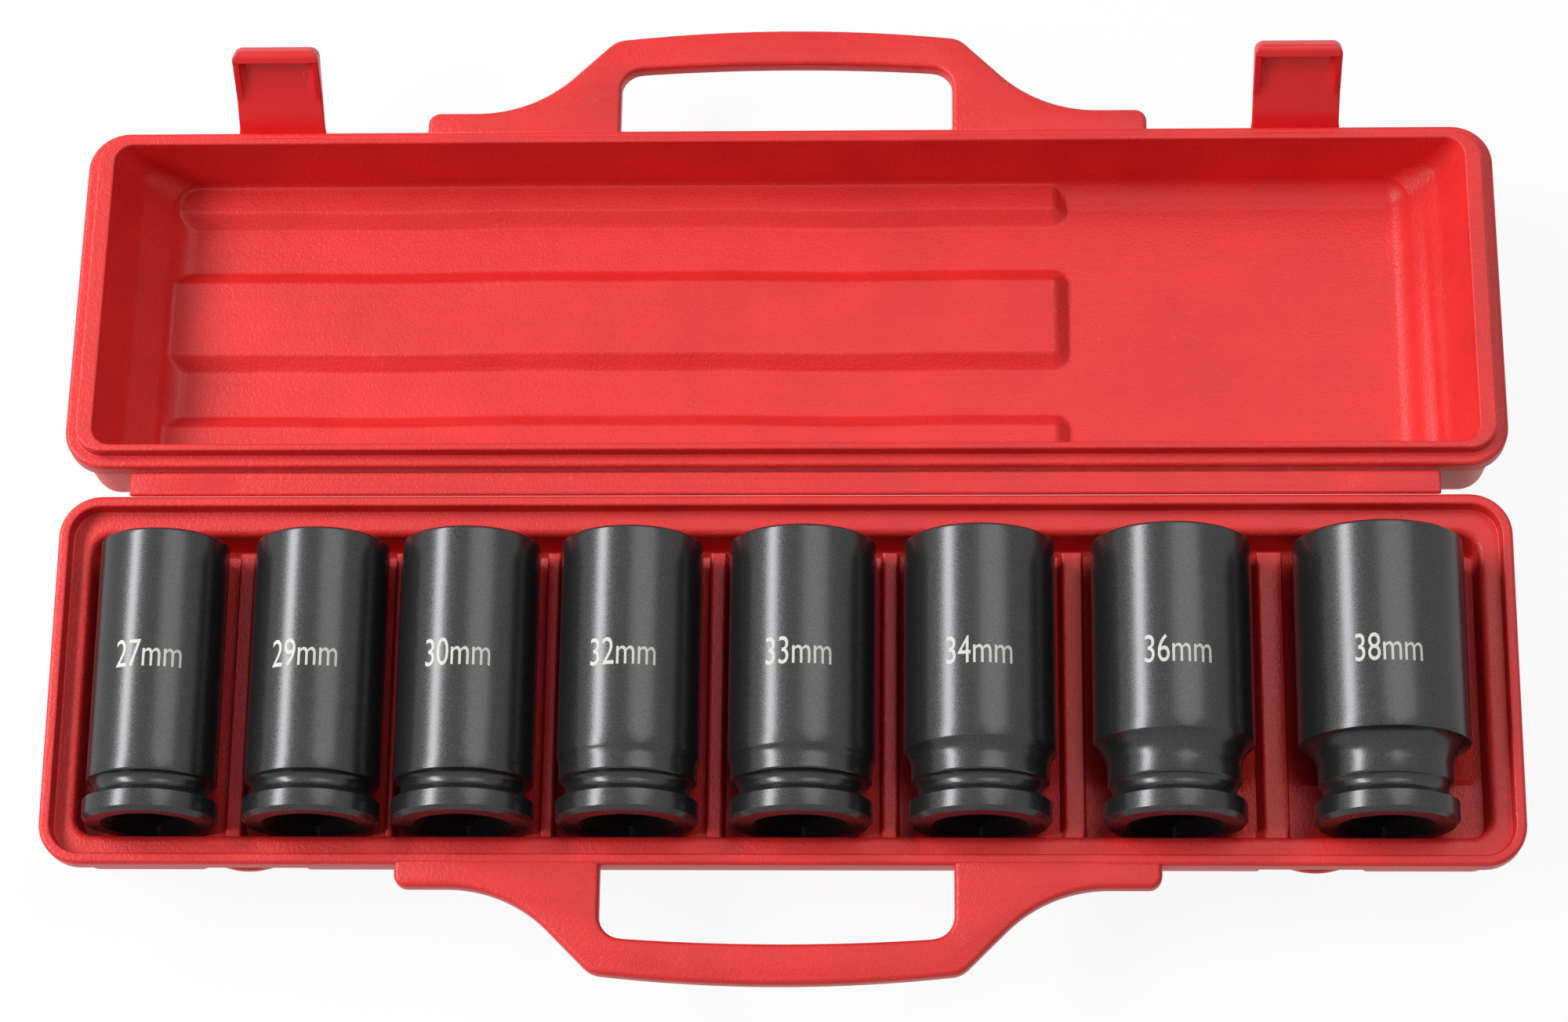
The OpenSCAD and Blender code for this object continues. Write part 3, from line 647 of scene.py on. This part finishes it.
def lid_half():
    half_x = HOLLOW_HALF_X - END_SLOPE - 8
    half_y = HOLLOW_HALF_Y - SIDE_SLOPE - 9
    bends = [RIB_RIGHT + b for b in (-7, -6.2, -5.4, -4, -3, -2, -1, -0.4, 0.4)]
    front = HOLLOW_HALF_Y - RIB_FRONT_W
    mid = front - RIB_SPACE
    rear = mid - RIB_MID_W
    feet = [(front, 1), (mid, -1), (rear, 1), (rear - RIB_SPACE, -1)]
    cross = [foot + way * b for foot, way in feet for b in (-0.5, 0, 0.5, 1, 2, 3.4, 4.8, 5.4, 5.9)]
    stations = ((spread(-half_x, half_x, 2.6, bends), half_x),
                (spread(-half_y, half_y, 1.8, cross), half_y))
    outer = rounded([
        (WALL_IN + LID_LEAN + FLOOR_IN, -LID_H, 0),
        (WALL_IN + LID_LEAN, -LID_H, EDGE_R),
        (WALL_IN, -FLANGE_T, FOOT_R),
        (0, -FLANGE_T, UNDER_R),
        (0, 0, FLANGE_ROUND),
        (TONGUE_IN, 0, 0.4),
        (TONGUE_IN + 0.1, TONGUE_H, 0.7),
        (TONGUE_IN + 1.15, TONGUE_H, 0),
    ], 5)
    rings = [even_ring(stations, HALF_LEN - inset, HALF_DEP - inset, max(CORNER_R - inset, 2.0), z)
             for inset, z in outer]
    inner = [(1.0, TONGUE_H)] + arc(0.7, TONGUE_H - 0.7, 0.7, 90, 180, 5)
    x_c = HOLLOW_HALF_X - END_SLOPE - FLOOR_R * tan(
        radians(45) - atan2(END_SLOPE, TONGUE_H - LID_FLOOR) / 2)
    y_c = HOLLOW_HALF_Y - SIDE_SLOPE - FLOOR_R * tan(
        radians(45) - atan2(SIDE_SLOPE, TONGUE_H - LID_FLOOR) / 2)
    for out, z in inner:
        rings.append(even_ring(stations, HOLLOW_HALF_X + out, HOLLOW_HALF_Y + out, WELL_R + out, z))
    halfway = (TONGUE_H + LID_FLOOR) / 2
    low = LID_FLOOR + FLOOR_R
    end_mid = HOLLOW_HALF_X - END_SLOPE / 2 + END_BULGE
    side_mid = HOLLOW_HALF_Y - SIDE_SLOPE / 2
    lean = degrees(atan2(END_SLOPE / 2 + END_BULGE, halfway - LID_FLOOR))
    tilt = degrees(atan2(SIDE_SLOPE / 2, halfway - LID_FLOOR))
    fillet_x = x_c + FLOOR_R * cos(radians(lean))
    fillet_y = y_c + FLOOR_R * cos(radians(tilt))
    fillet_z = low - FLOOR_R * sin(radians((lean + tilt) / 2))
    for share in np.linspace(0.1, 1, 8):
        rings.append(even_ring(stations, between(HOLLOW_HALF_X, end_mid, share),
                               between(HOLLOW_HALF_Y, side_mid, share),
                               WELL_R, TONGUE_H - 0.7 + (halfway - TONGUE_H + 0.7) * share))
    for share in np.linspace(0.1, 1, 10):
        rings.append(even_ring(stations, between(end_mid, fillet_x, share),
                               between(side_mid, fillet_y, share),
                               between(WELL_R, FLOOR_R, share), between(halfway, fillet_z, share)))
    for share in np.linspace(0.08, 1, 12):
        a = radians(between(lean, 90, share))
        b = radians(between(tilt, 90, share))
        x_half, y_half = x_c + FLOOR_R * cos(a), y_c + FLOOR_R * cos(b)
        z = low - FLOOR_R * sin((a + b) / 2)
        rings.append(even_ring(stations, x_half, y_half, max(FLOOR_R * cos(a), 1.2), z))
    for k in range(len(outer) + len(inner), len(rings)):
        x, y, z = rings[k].T
        rings[k][:, 0] += end_crease(x, y, z)
        last = k == len(rings) - 1
        rings[k][:, 2] = lid_height(x, y) if last else soft_max(z, lid_height(x, y), 0.8)
    points, faces = lofted(rings, stations, lid_height)
    finished("lid_half", points, faces, CASE_RED, "lid", ("lid_outer_shell", "lid_liner", "lid_tongue"),
             LID_PLACE)


# ---------------------------------------------------------------------------------- the handles


def handle_outline():
    """Outline of one handle half, with its root on the rim's edge at y = 0."""
    crown_r, shoulder_r, foot_r = 480.0, 8.0, 4.0
    sweep_x = FOOT_OUT - 16
    flank = sweep_x - SWEEP_R * tan(radians(22.5)) + FOOT_REACH
    crown_mid = HANDLE_REACH - crown_r
    total = flank - shoulder_r * sqrt(2) - crown_mid
    shoulder_x = (total - sqrt(2 * (crown_r - shoulder_r) ** 2 - total ** 2)) / 2
    shoulder_y = flank - shoulder_r * sqrt(2) - shoulder_x
    turn = degrees(atan2(shoulder_x, shoulder_y - crown_mid))
    right = [(FOOT_OUT, 0)] + arc(FOOT_OUT - foot_r, FOOT_REACH - foot_r, foot_r, 0, 90, 8)
    right += arc(sweep_x, FOOT_REACH + SWEEP_R, SWEEP_R, 270, 225, 20)
    right += arc(shoulder_x, shoulder_y, shoulder_r, 45, 90 - turn, 10)
    right += arc(0, crown_mid, crown_r, 90 - turn, 90, 24)[1:]
    left = [(-x, y) for x, y in right[-2::-1]]
    return right + left


def finger_opening():
    """The opening's edge from its left root to its right one."""
    deep, bow, corner = HANDLE_REACH - GRIP_DEP, 2.1, 7.0
    half = GRIP_LEN / 2
    bow_r = (half * half + bow * bow) / (2 * bow)
    turn = degrees(asin((half - corner) / bow_r))
    left = [(-half, 0), (-half, 7)] + arc(corner - half, deep - corner - bow * 0.8, corner, 180, 92, 10)
    top = arc(0, deep - bow_r, bow_r, 90 + turn, 90, 16)
    first = left + top
    return first + [(-x, y) for x, y in first[-2::-1]]


def rounded_plate(name, outline, top, bottom, r, body, replaces, place):
    """A plate with rounded edges, from a closed outline that runs anticlockwise."""
    flat = np.array(outline)
    before = flat - np.roll(flat, 1, axis=0)
    after = np.roll(flat, -1, axis=0) - flat
    before /= np.linalg.norm(before, axis=1)[:, None]
    after /= np.linalg.norm(after, axis=1)[:, None]
    way = before + after
    way /= np.linalg.norm(way, axis=1)[:, None]
    normal = np.column_stack([way[:, 1], -way[:, 0]])
    stretch = 1 / np.clip(np.sum(way * after, axis=1), 0.5, 1)
    levels = [(r * (1 - sin(radians(a))), bottom + r * (1 - cos(radians(a))))
              for a in np.linspace(0, 90, 5)]
    levels += [(inset, top + bottom - z) for inset, z in levels[::-1]]
    points, faces, size = [], [], len(flat)
    for inset, z in levels:
        inner = flat - normal * (inset * stretch)[:, None]
        points += np.column_stack([inner, np.full(size, z)]).tolist()
    for level in range(len(levels) - 1):
        a, b = level * size, (level + 1) * size
        faces += [[a + k, a + (k + 1) % size, b + (k + 1) % size, b + k] for k in range(size)]
    faces.append(list(range(size))[::-1])
    faces.append([(len(levels) - 1) * size + k for k in range(size)])
    finished(name, points, faces, CASE_RED, body, replaces, place)


def handles():
    """Both handle halves. Their roots reach a little under the rims' rounded edges."""
    root = -1.6
    outer = handle_outline()
    opening = finger_opening()
    outline = [(FOOT_OUT, root)] + outer + [(-FOOT_OUT, root)]
    outline += [(opening[0][0], root)] + opening + [(opening[-1][0], root)]
    # the outline runs anticlockwise: out along the grip, back along the root and the opening
    base_place = Matrix.Translation((0, -HALF_DEP, BASE_H)) @ Matrix.Rotation(pi, 4, "X")
    rounded_plate("base_grip", outline, HANDLE_T, 0.04, 1.6, "base", ("base_handle",), base_place)
    lid_place = LID_PLACE @ Matrix.Translation((0, HALF_DEP, -HANDLE_T))
    rounded_plate("lid_grip", outline, HANDLE_T - 0.04, 0, 1.6, "lid", ("lid_handle",), lid_place)


# -------------------------------------------------------------------- hinge, catches and latches


def hinge_web():
    """The web between the halves: a strip with rounded folds and thicker ends."""
    gap = BASE_FOLD_IN + LID_FOLD_IN + 0.3
    section = arc(0, 0, FOLD_R, 90, 270, 8) + [(1.4, -WEB_T / 2), (gap - 1.4, -WEB_T / 2)]
    section += arc(gap, 0, FOLD_R, -90, 90, 8) + [(gap - 1.4, WEB_T / 2), (1.4, WEB_T / 2)]
    half, pad = WEB_LEN / 2, 28.0
    stops = [(-half, 0.55), (-half + 0.5, 0.9), (-half + 1.2, 1.0)]
    stops += [(-half + pad - 0.6, 1.0), (-half + pad, 0.0)]
    stops += list(zip(np.linspace(-half + pad + 8, half - pad - 8, 40), [0.0] * 40))
    stops += [(-x, thick) for x, thick in stops[4::-1]]
    points, size = [], len(section)
    for x, thick in stops:
        end = min(1.0, 0.5 + (half - abs(x)) / 1.2)
        for y, z in section:
            mid = gap / 2
            lift = 0.4 * thick if z > 0.5 and 1.0 < y < gap - 1.0 else 0.0
            points.append((x, mid + (y - mid) * (0.85 + 0.15 * end), z * end + lift))
    faces = [list(range(size)), [(len(stops) - 1) * size + k for k in range(size)][::-1]]
    for s in range(len(stops) - 1):
        a, b = s * size, (s + 1) * size
        faces += [[a + (k + 1) % size, a + k, b + k, b + (k + 1) % size] for k in range(size)]
    finished("hinge_web_strip", points, faces, CASE_RED, "web", ("hinge_web",),
             Matrix.Translation(WEB_FOLD))


def softened_copy(node, name, material, body, width):
    """A copy of a fixed part, merged and with its edges rounded."""
    mesh = frame["nodes"][node].data.copy()
    mesh.name = name
    mesh.materials.clear()
    mesh.materials.append(material)
    piece = new_object(name, mesh)
    weld = piece.modifiers.new("weld", "WELD")
    weld.merge_threshold = 0.00002
    flat = piece.modifiers.new("flat", "DECIMATE")
    flat.decimate_type = "DISSOLVE"
    flat.angle_limit = radians(1)
    bevel = piece.modifiers.new("bevel", "BEVEL")
    bevel.width = width * MM
    bevel.segments = 3
    bevel.limit_method = "ANGLE"
    bevel.angle_limit = radians(25)
    result = applied(piece)
    result.shade_smooth()
    result.set_sharp_from_angle(angle=radians(35))
    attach(piece, body)
    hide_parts(node)


def latch_height(x, y):
    """Height of a latch's inner side: its plate, the hook and the gusset along each side."""
    plate_top = LATCH_T / 2
    foot = HOOK_END - HOOK_T
    hook = between(plate_top, HOOK_TOP, np.clip((y - foot) / 0.7 + 0.5, 0, 1))
    hook = hook - 1.1 * np.clip((y - HOOK_END + 2.2) / 2.2, 0, 1) ** 2
    rise = np.clip((y - foot + GUSSET_RUN) / GUSSET_RUN, 0, 1)
    side = np.clip((np.abs(x) - (LATCH_W / 2 - 2.4)) / 0.8 + 0.5, 0, 1)
    gusset = plate_top + (HOOK_TOP - 0.5 - plate_top) * rise * side
    return np.maximum(hook, gusset)


def latch(side):
    """One latch, drawn along +Y from its fold line with its inner side up."""
    half_w = LATCH_W / 2
    mid = (HOOK_END - FOLD_R) / 2
    r = LATCH_CORNER
    half_x, half_y = half_w - 0.5 - r, (HOOK_END + FOLD_R) / 2 - 0.5 - r
    foot = HOOK_END - HOOK_T - mid
    extra_x = [way * (half_w - 2.4 + b) for way in (-1, 1) for b in (-0.5, -0.2, 0.1, 0.4)]
    extra_y = [foot + b for b in (-0.5, -0.25, 0, 0.25, 0.5)]
    stations = ((spread(-half_x, half_x, 1.6, extra_x), half_x),
                (spread(-half_y, half_y, 1.2, extra_y), half_y))
    low, high = mid - half_y - r, mid + half_y + r
    bottom = -LATCH_T / 2

    def level(grow, z):
        return ring(stations, half_x + r + grow, low - grow, high + grow, r + grow, z)

    rings = [level(0, bottom)] + [level(o, z) for o, z in arc(0, bottom + 0.5, 0.5, -60, 0, 3)]
    crown = []
    for o, z in arc(0, 0, 0.5, 0, 75, 4):
        points = level(o, 0)
        points[:, 2] = latch_height(points[:, 0], points[:, 1]) - 0.5 + z
        crown.append(points)
    last = level(0, 0)
    last[:, 2] = latch_height(last[:, 0], last[:, 1])
    points, faces = lofted(rings + crown + [last], stations, latch_height)
    # the root spreads where it meets the flange
    near = np.clip(1 - (points[:, 1] + FOLD_R) / 3.2, 0, 1) ** 2
    points[:, 0] *= 1 + 0.16 * near
    name = "left" if side < 0 else "right"
    place = (LID_PLACE @ Matrix.Translation((side * LATCH_OUT, HALF_DEP + FOLD_OUT, -LATCH_FOLD_IN))
             @ Matrix.Rotation(radians(LATCH_LIFT), 4, "X"))
    # the latch takes a shaded copy of the case's red: its deeper colour is painted shade
    finished(f"{name}_latch_plate", points, faces, LATCH_SHADED_RED, f"{name}_latch", (f"latch_{name}",),
             place)


# ---------------------------------------------------------------------------------- the sockets

ROUND_STEPS = 144  # a multiple of 24, so that squares and hexagons keep their corners
# How far each socket has rolled in its pocket: its mark's distance from the top of the barrel
MARK_SHIFTS = {27: 0.6, 29: -1.2, 30: -0.9, 32: -0.8, 33: -0.5, 34: -0.4, 36: 0.4, 38: -0.5}


def socket_profile(size):
    """Closed outline of a socket as (radius, distance from the drive end, sides) rows."""
    body, hub, band, start = (v if k == 3 else v / 2 for k, v in enumerate(SOCKETS[size]))
    groove = HUB_LEN + GROOVE_R
    band_end = groove + GROOVE_R + BAND_W
    lead = (DRIVE_SQ * sqrt(2) + 2.5) / 2
    soft = 0.3
    path = [(lead + 0.25, 0), (hub - HUB_CHAMFER - soft, 0)]
    path += arc(hub - HUB_CHAMFER, soft, soft, -90, -45, 2)[1:]
    path += arc(hub - soft, HUB_CHAMFER, soft, -45, 0, 2)
    path += [(hub, HUB_LEN - 0.5)]
    path += arc(hub, groove, GROOVE_R, -94, -180, 9)[1:]
    turn = degrees(acos(np.clip((hub - band) / GROOVE_R, -1, 1)))
    path += arc(hub, groove, GROOVE_R, 180, 180 - turn + 6, 8)[1:]
    if body > band:
        path += [(band, groove + GROOVE_R * sin(radians(turn)) + 0.4), (band, band_end)]
        rise, run = body - band, start - band_end
        bend = (rise * rise + run * run) / (2 * rise)
        sweep = degrees(asin(run / bend))
        path += [(band + bend - bend * cos(radians(a)), band_end + bend * sin(radians(a)))
                 for a in np.linspace(0, sweep, 9)[1:-1]]
        path += [(body - 0.12, start - 0.05), (body, start + 0.35)]
    else:
        path += [(body - 0.1, start + 0.1), (body, start + 0.5)]
    path += [(body, y) for y in np.linspace(start + 4, SOCKET_LEN - MOUTH_CHAMFER - 1, 8)]
    path += arc(body - 0.6, SOCKET_LEN - MOUTH_CHAMFER, 0.6, 0, 40, 3)
    path += [(body - MOUTH_CHAMFER, SOCKET_LEN - 0.1), (body - MOUTH_CHAMFER - 0.3, SOCKET_LEN)]
    rows = [(r, y, 0) for r, y in path]
    wide = size / sqrt(3)
    core = size / 2 + 0.25
    mouth = 1.5
    rows += [(wide + mouth / 2 + 0.2, SOCKET_LEN, 0), (wide + mouth / 2, SOCKET_LEN - 0.15, 0)]
    rows += [(wide, SOCKET_LEN - 2.4, 6), (wide, SOCKET_LEN - HEX_DEP, 6)]
    rows += [(core, SOCKET_LEN - HEX_DEP - 0.3, 0), (core, DRIVE_DEP + 0.3, 0)]
    half = DRIVE_SQ / sqrt(2)
    rows += [(half, DRIVE_DEP, 4), (half, 3.0, 4), (lead, 0.15, 0)]
    return rows


def geometry_tree(name, inputs):
    """A geometry tree, the identifier of each of its named inputs, and its input and output nodes."""
    tree = bpy.data.node_groups.new(name, "GeometryNodeTree")
    tree.interface.new_socket("Geometry", in_out="OUTPUT", socket_type="NodeSocketGeometry")
    names = {}
    for label, (kind, value) in inputs.items():
        socket = tree.interface.new_socket(label, in_out="INPUT", socket_type=kind)
        if value is not None:
            socket.default_value = value
        names[label] = socket.identifier
    return tree, names, tree.nodes.new("NodeGroupInput"), tree.nodes.new("NodeGroupOutput")


def end_tree(tree, geometry, given, result):
    """Ends a geometry tree with real geometry in the given material."""
    real = add_node(tree, "GeometryNodeRealizeInstances", {0: geometry})
    painted = add_node(tree, "GeometryNodeSetMaterial",
                       {"Geometry": real.outputs[0], "Material": given.outputs["Material"]})
    tree.links.new(painted.outputs[0], result.inputs[0])


def turned_tree():
    """Geometry nodes that turn a closed profile into a part with round, square or hexagonal bores."""
    tree, inputs, given, result = geometry_tree("turned_part", {
        "Profile": ("NodeSocketGeometry", None),
        "Steps": ("NodeSocketInt", ROUND_STEPS),
        "Hub radius": ("NodeSocketFloat", 0.01),
        "Material": ("NodeSocketMaterial", None),
    })
    curve = add_node(tree, "GeometryNodeMeshToCurve", {0: given.outputs["Profile"]})
    path = add_node(tree, "GeometryNodeCurvePrimitiveCircle",
                    {"Resolution": given.outputs["Steps"], "Radius": given.outputs["Hub radius"]})
    turned = add_node(tree, "GeometryNodeCurveToMesh",
                      {"Curve": path.outputs["Curve"], "Profile Curve": curve.outputs[0]})
    spot = add_node(tree, "GeometryNodeInputPosition").outputs[0]
    parts = add_node(tree, "ShaderNodeSeparateXYZ", {0: spot})
    sides = add_node(tree, "GeometryNodeInputNamedAttribute", {"Name": "sides"}, data_type="FLOAT")
    count = math_node(tree, "MAXIMUM", sides.outputs["Attribute"], 3.0)
    angle = math_node(tree, "ARCTAN2", parts.outputs["Y"], parts.outputs["X"])
    part = math_node(tree, "DIVIDE", 2 * pi, count)
    half = math_node(tree, "DIVIDE", pi, count)
    within = math_node(tree, "SUBTRACT", math_node(tree, "FLOORED_MODULO", angle, part), half)
    shrink = math_node(tree, "DIVIDE", math_node(tree, "COSINE", half),
                       math_node(tree, "COSINE", within))
    many = math_node(tree, "GREATER_THAN", sides.outputs["Attribute"], 3.0)
    change = times(tree, many, math_node(tree, "SUBTRACT", shrink, 1.0))
    factor = plus(tree, change, 1.0)
    moved = add_node(tree, "ShaderNodeCombineXYZ",
                     {"X": times(tree, parts.outputs["X"], factor),
                      "Y": times(tree, parts.outputs["Y"], factor),
                      "Z": parts.outputs["Z"]})
    shaped = add_node(tree, "GeometryNodeSetPosition",
                      {"Geometry": turned.outputs[0], "Position": moved.outputs[0]})
    end_tree(tree, shaped.outputs[0], given, result)
    return tree, inputs


def mark_tree():
    """Geometry nodes that wrap a mark round a socket, a little proud of its surface."""
    tree, inputs, given, result = geometry_tree("wrapped_mark", {
        "Mark": ("NodeSocketString", ""),
        "Letter height": ("NodeSocketFloat", 0.01),
        "Radius": ("NodeSocketFloat", 0.02),
        "Proud": ("NodeSocketFloat", 0.0001),
        "Narrow": ("NodeSocketFloat", 0.8),
        "Shift": ("NodeSocketFloat", 0.0),
        "Material": ("NodeSocketMaterial", None),
    })
    letters = add_node(tree, "GeometryNodeStringToCurves",
                       {"String": given.outputs["Mark"], "Size": given.outputs["Letter height"]},
                       align_x="CENTER", align_y="MIDDLE")
    real = add_node(tree, "GeometryNodeRealizeInstances", {0: letters.outputs["Curve Instances"]})
    filled = add_node(tree, "GeometryNodeFillCurve", {0: real.outputs[0]}, mode="TRIANGLES")
    raised = add_node(tree, "GeometryNodeExtrudeMesh",
                      {"Mesh": filled.outputs[0], "Offset Scale": given.outputs["Proud"],
                       "Individual": False})
    finer = add_node(tree, "GeometryNodeSubdivideMesh", {"Mesh": raised.outputs[0], "Level": 1})
    spot = add_node(tree, "GeometryNodeInputPosition").outputs[0]
    parts = add_node(tree, "ShaderNodeSeparateXYZ", {0: spot})
    narrow = times(tree, parts.outputs["X"], given.outputs["Narrow"])
    across = plus(tree, narrow, given.outputs["Shift"])
    angle = math_node(tree, "DIVIDE", across, given.outputs["Radius"])
    lift = plus(tree, given.outputs["Radius"],
                math_node(tree, "SUBTRACT", parts.outputs["Z"], 0.00004))
    moved = add_node(tree, "ShaderNodeCombineXYZ",
                     {"X": times(tree, lift, math_node(tree, "SINE", angle)),
                      "Y": parts.outputs["Y"],
                      "Z": times(tree, lift, math_node(tree, "COSINE", angle))})
    shaped = add_node(tree, "GeometryNodeSetPosition",
                      {"Geometry": finer.outputs[0], "Position": moved.outputs[0]})
    end_tree(tree, shaped.outputs[0], given, result)
    return tree, inputs


def from_nodes(name, start, tree, identifiers, values, place):
    """Runs a geometry tree on a starting mesh and returns the plain, placed result."""
    piece = new_object(name, start)
    modifier = piece.modifiers.new("nodes", "NODES")
    modifier.node_group = tree
    for label, value in values.items():
        modifier[identifiers[label]] = value
    result = applied(piece)
    result.transform(place)
    result.name = name
    return piece


def sockets():
    turned, turned_inputs = turned_tree()
    wrapped, wrapped_inputs = mark_tree()
    path_r = 10 * MM
    mark_y, mark_h = 48.9, 12.4
    for size in SIZES:
        rows = socket_profile(size)
        start = bpy.data.meshes.new(f"profile_{size}")
        count = len(rows)
        start.from_pydata([(r * MM - path_r, y * MM, 0) for r, y, _ in rows],
                          [(k, (k + 1) % count) for k in range(count)], [])
        sides = start.attributes.new("sides", "FLOAT", "POINT")
        sides.data.foreach_set("value", [float(s) for _, _, s in rows])
        x, y = socket_place(size)
        # the profile runs along -Z in the tree, so this turn lays it along +Y
        place = Matrix.Translation(Vector((x, y, BASE_H)) * MM) @ Matrix.Rotation(radians(90), 4, "X")
        piece = from_nodes(f"turned_socket_{size}", start, turned, turned_inputs,
                           {"Hub radius": path_r, "Material": SOCKET_BLACK}, place)
        piece.data.shade_smooth()
        piece.data.set_sharp_from_angle(angle=radians(28))
        body = f"loose_socket_{size}"
        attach(piece, body)
        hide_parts(f"socket_{size}mm")
        place = Matrix.Translation(Vector((x, y + mark_y, BASE_H)) * MM)
        start = bpy.data.meshes.new(f"mark_{size}")
        mark = from_nodes(f"size_mark_{size}", start, wrapped, wrapped_inputs,
                          {"Mark": f"{size}mm", "Letter height": mark_h * MM,
                           "Radius": SOCKETS[size][0] / 2 * MM, "Proud": 0.07 * MM, "Narrow": 0.69,
                           "Shift": MARK_SHIFTS[size] * MM, "Material": MARK_GREY}, place)
        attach(mark, body)


# ------------------------------------------------------------------------- floor, light, camera


def seen_rays(tree, *kinds):
    """One for a ray of any of these kinds, nothing for the others."""
    light_path = add_node(tree, "ShaderNodeLightPath")
    seen = light_path.outputs[f"Is {kinds[0]} Ray"]
    for kind in kinds[1:]:
        seen = math_node(tree, "MAXIMUM", seen, light_path.outputs[f"Is {kind} Ray"])
    return seen


def stage_and_light():
    """Pale floor, soft lamps from the upper left and a plain white world."""
    half = 3.0
    mesh = bpy.data.meshes.new("floor")
    corners = [(-half, -half, 0), (half, -half, 0), (half, half, 0), (-half, half, 0)]
    mesh.from_pydata(corners, [], [(0, 1, 2, 3)])
    material, tree, shader = new_material("floor_white")
    shader.inputs["Base Color"].default_value = (0.9, 0.9, 0.9, 1)
    shader.inputs["Roughness"].default_value = 0.9
    glow = add_node(tree, "ShaderNodeEmission", {"Color": (1, 1, 1, 1), "Strength": 1.0})
    seen = times(tree, seen_rays(tree, "Camera", "Glossy", "Transmission"), 0.92)
    both = add_node(tree, "ShaderNodeMixShader", {0: seen, 1: shader.outputs[0], 2: glow.outputs[0]})
    tree.links.new(both.outputs[0], tree.nodes["Material Output"].inputs["Surface"])
    mesh.materials.append(material)
    floor = new_object("floor", mesh)
    floor.location.z = -0.0005

    world = bpy.data.worlds.new("studio")
    bpy.context.scene.world = world
    world.use_nodes = True
    tree = world.node_tree
    background = tree.nodes["Background"]
    background.inputs["Color"].default_value = (1, 1, 1, 1)
    dim = 0.14
    seen = times(tree, seen_rays(tree, "Camera", "Glossy", "Transmission"), 1 - dim)
    tree.links.new(plus(tree, seen, dim), background.inputs["Strength"])

    def lamp(name, at, aim, watts, wide, deep):
        data = bpy.data.lights.new(name, "AREA")
        data.shape = "RECTANGLE"
        data.size, data.size_y = wide, deep
        data.energy = watts
        light = new_object(name, data)
        light.location = at
        light.rotation_euler = (Vector(aim) - Vector(at)).to_track_quat("-Z", "Y").to_euler()

    lamp("key", (-1.72, 0.35, 1.57), (0, 0.05, 0), 60.0, 2.0, 0.55)
    lamp("overhead", (0.6, 0.55, 1.6), (0, 0.08, 0), 8.0, 1.1, 1.0)


def camera():
    """A camera above the front of the case, turned a little to its left."""
    focal_px, width_px = 4978.3, 2000
    down, yaw, roll = radians(71.692), radians(-7.449), radians(-7.185)
    behind, above = 386.0, 1160.0  # from the middle of the base's rear rim edge
    data = bpy.data.cameras.new("camera")
    data.sensor_width = 36.0
    data.lens = focal_px / width_px * data.sensor_width
    view = new_object("camera", data)
    forward = Vector((sin(yaw) * cos(down), cos(yaw) * cos(down), -sin(down)))
    right = Vector((cos(yaw), -sin(yaw), 0))
    up = right.cross(forward)
    right_rolled = right * cos(roll) + up * sin(roll)
    up_rolled = up * cos(roll) - right * sin(roll)
    turn = Matrix((right_rolled, up_rolled, -forward)).transposed()
    place = Vector((50.8, HALF_DEP - behind, BASE_H + above)) * MM
    view.matrix_world = Matrix.Translation(place) @ turn.to_4x4()
    bpy.context.scene.camera = view


bpy.context.scene.view_settings.view_transform = "Standard"
camera()
base_half()
lid_half()
handles()
hinge_web()
for catch in ("catch_left", "catch_right"):
    softened_copy(catch, f"soft_{catch}", CASE_RED, "base", 0.6)
for side in (-1, 1):
    latch(side)
sockets()
stage_and_light()
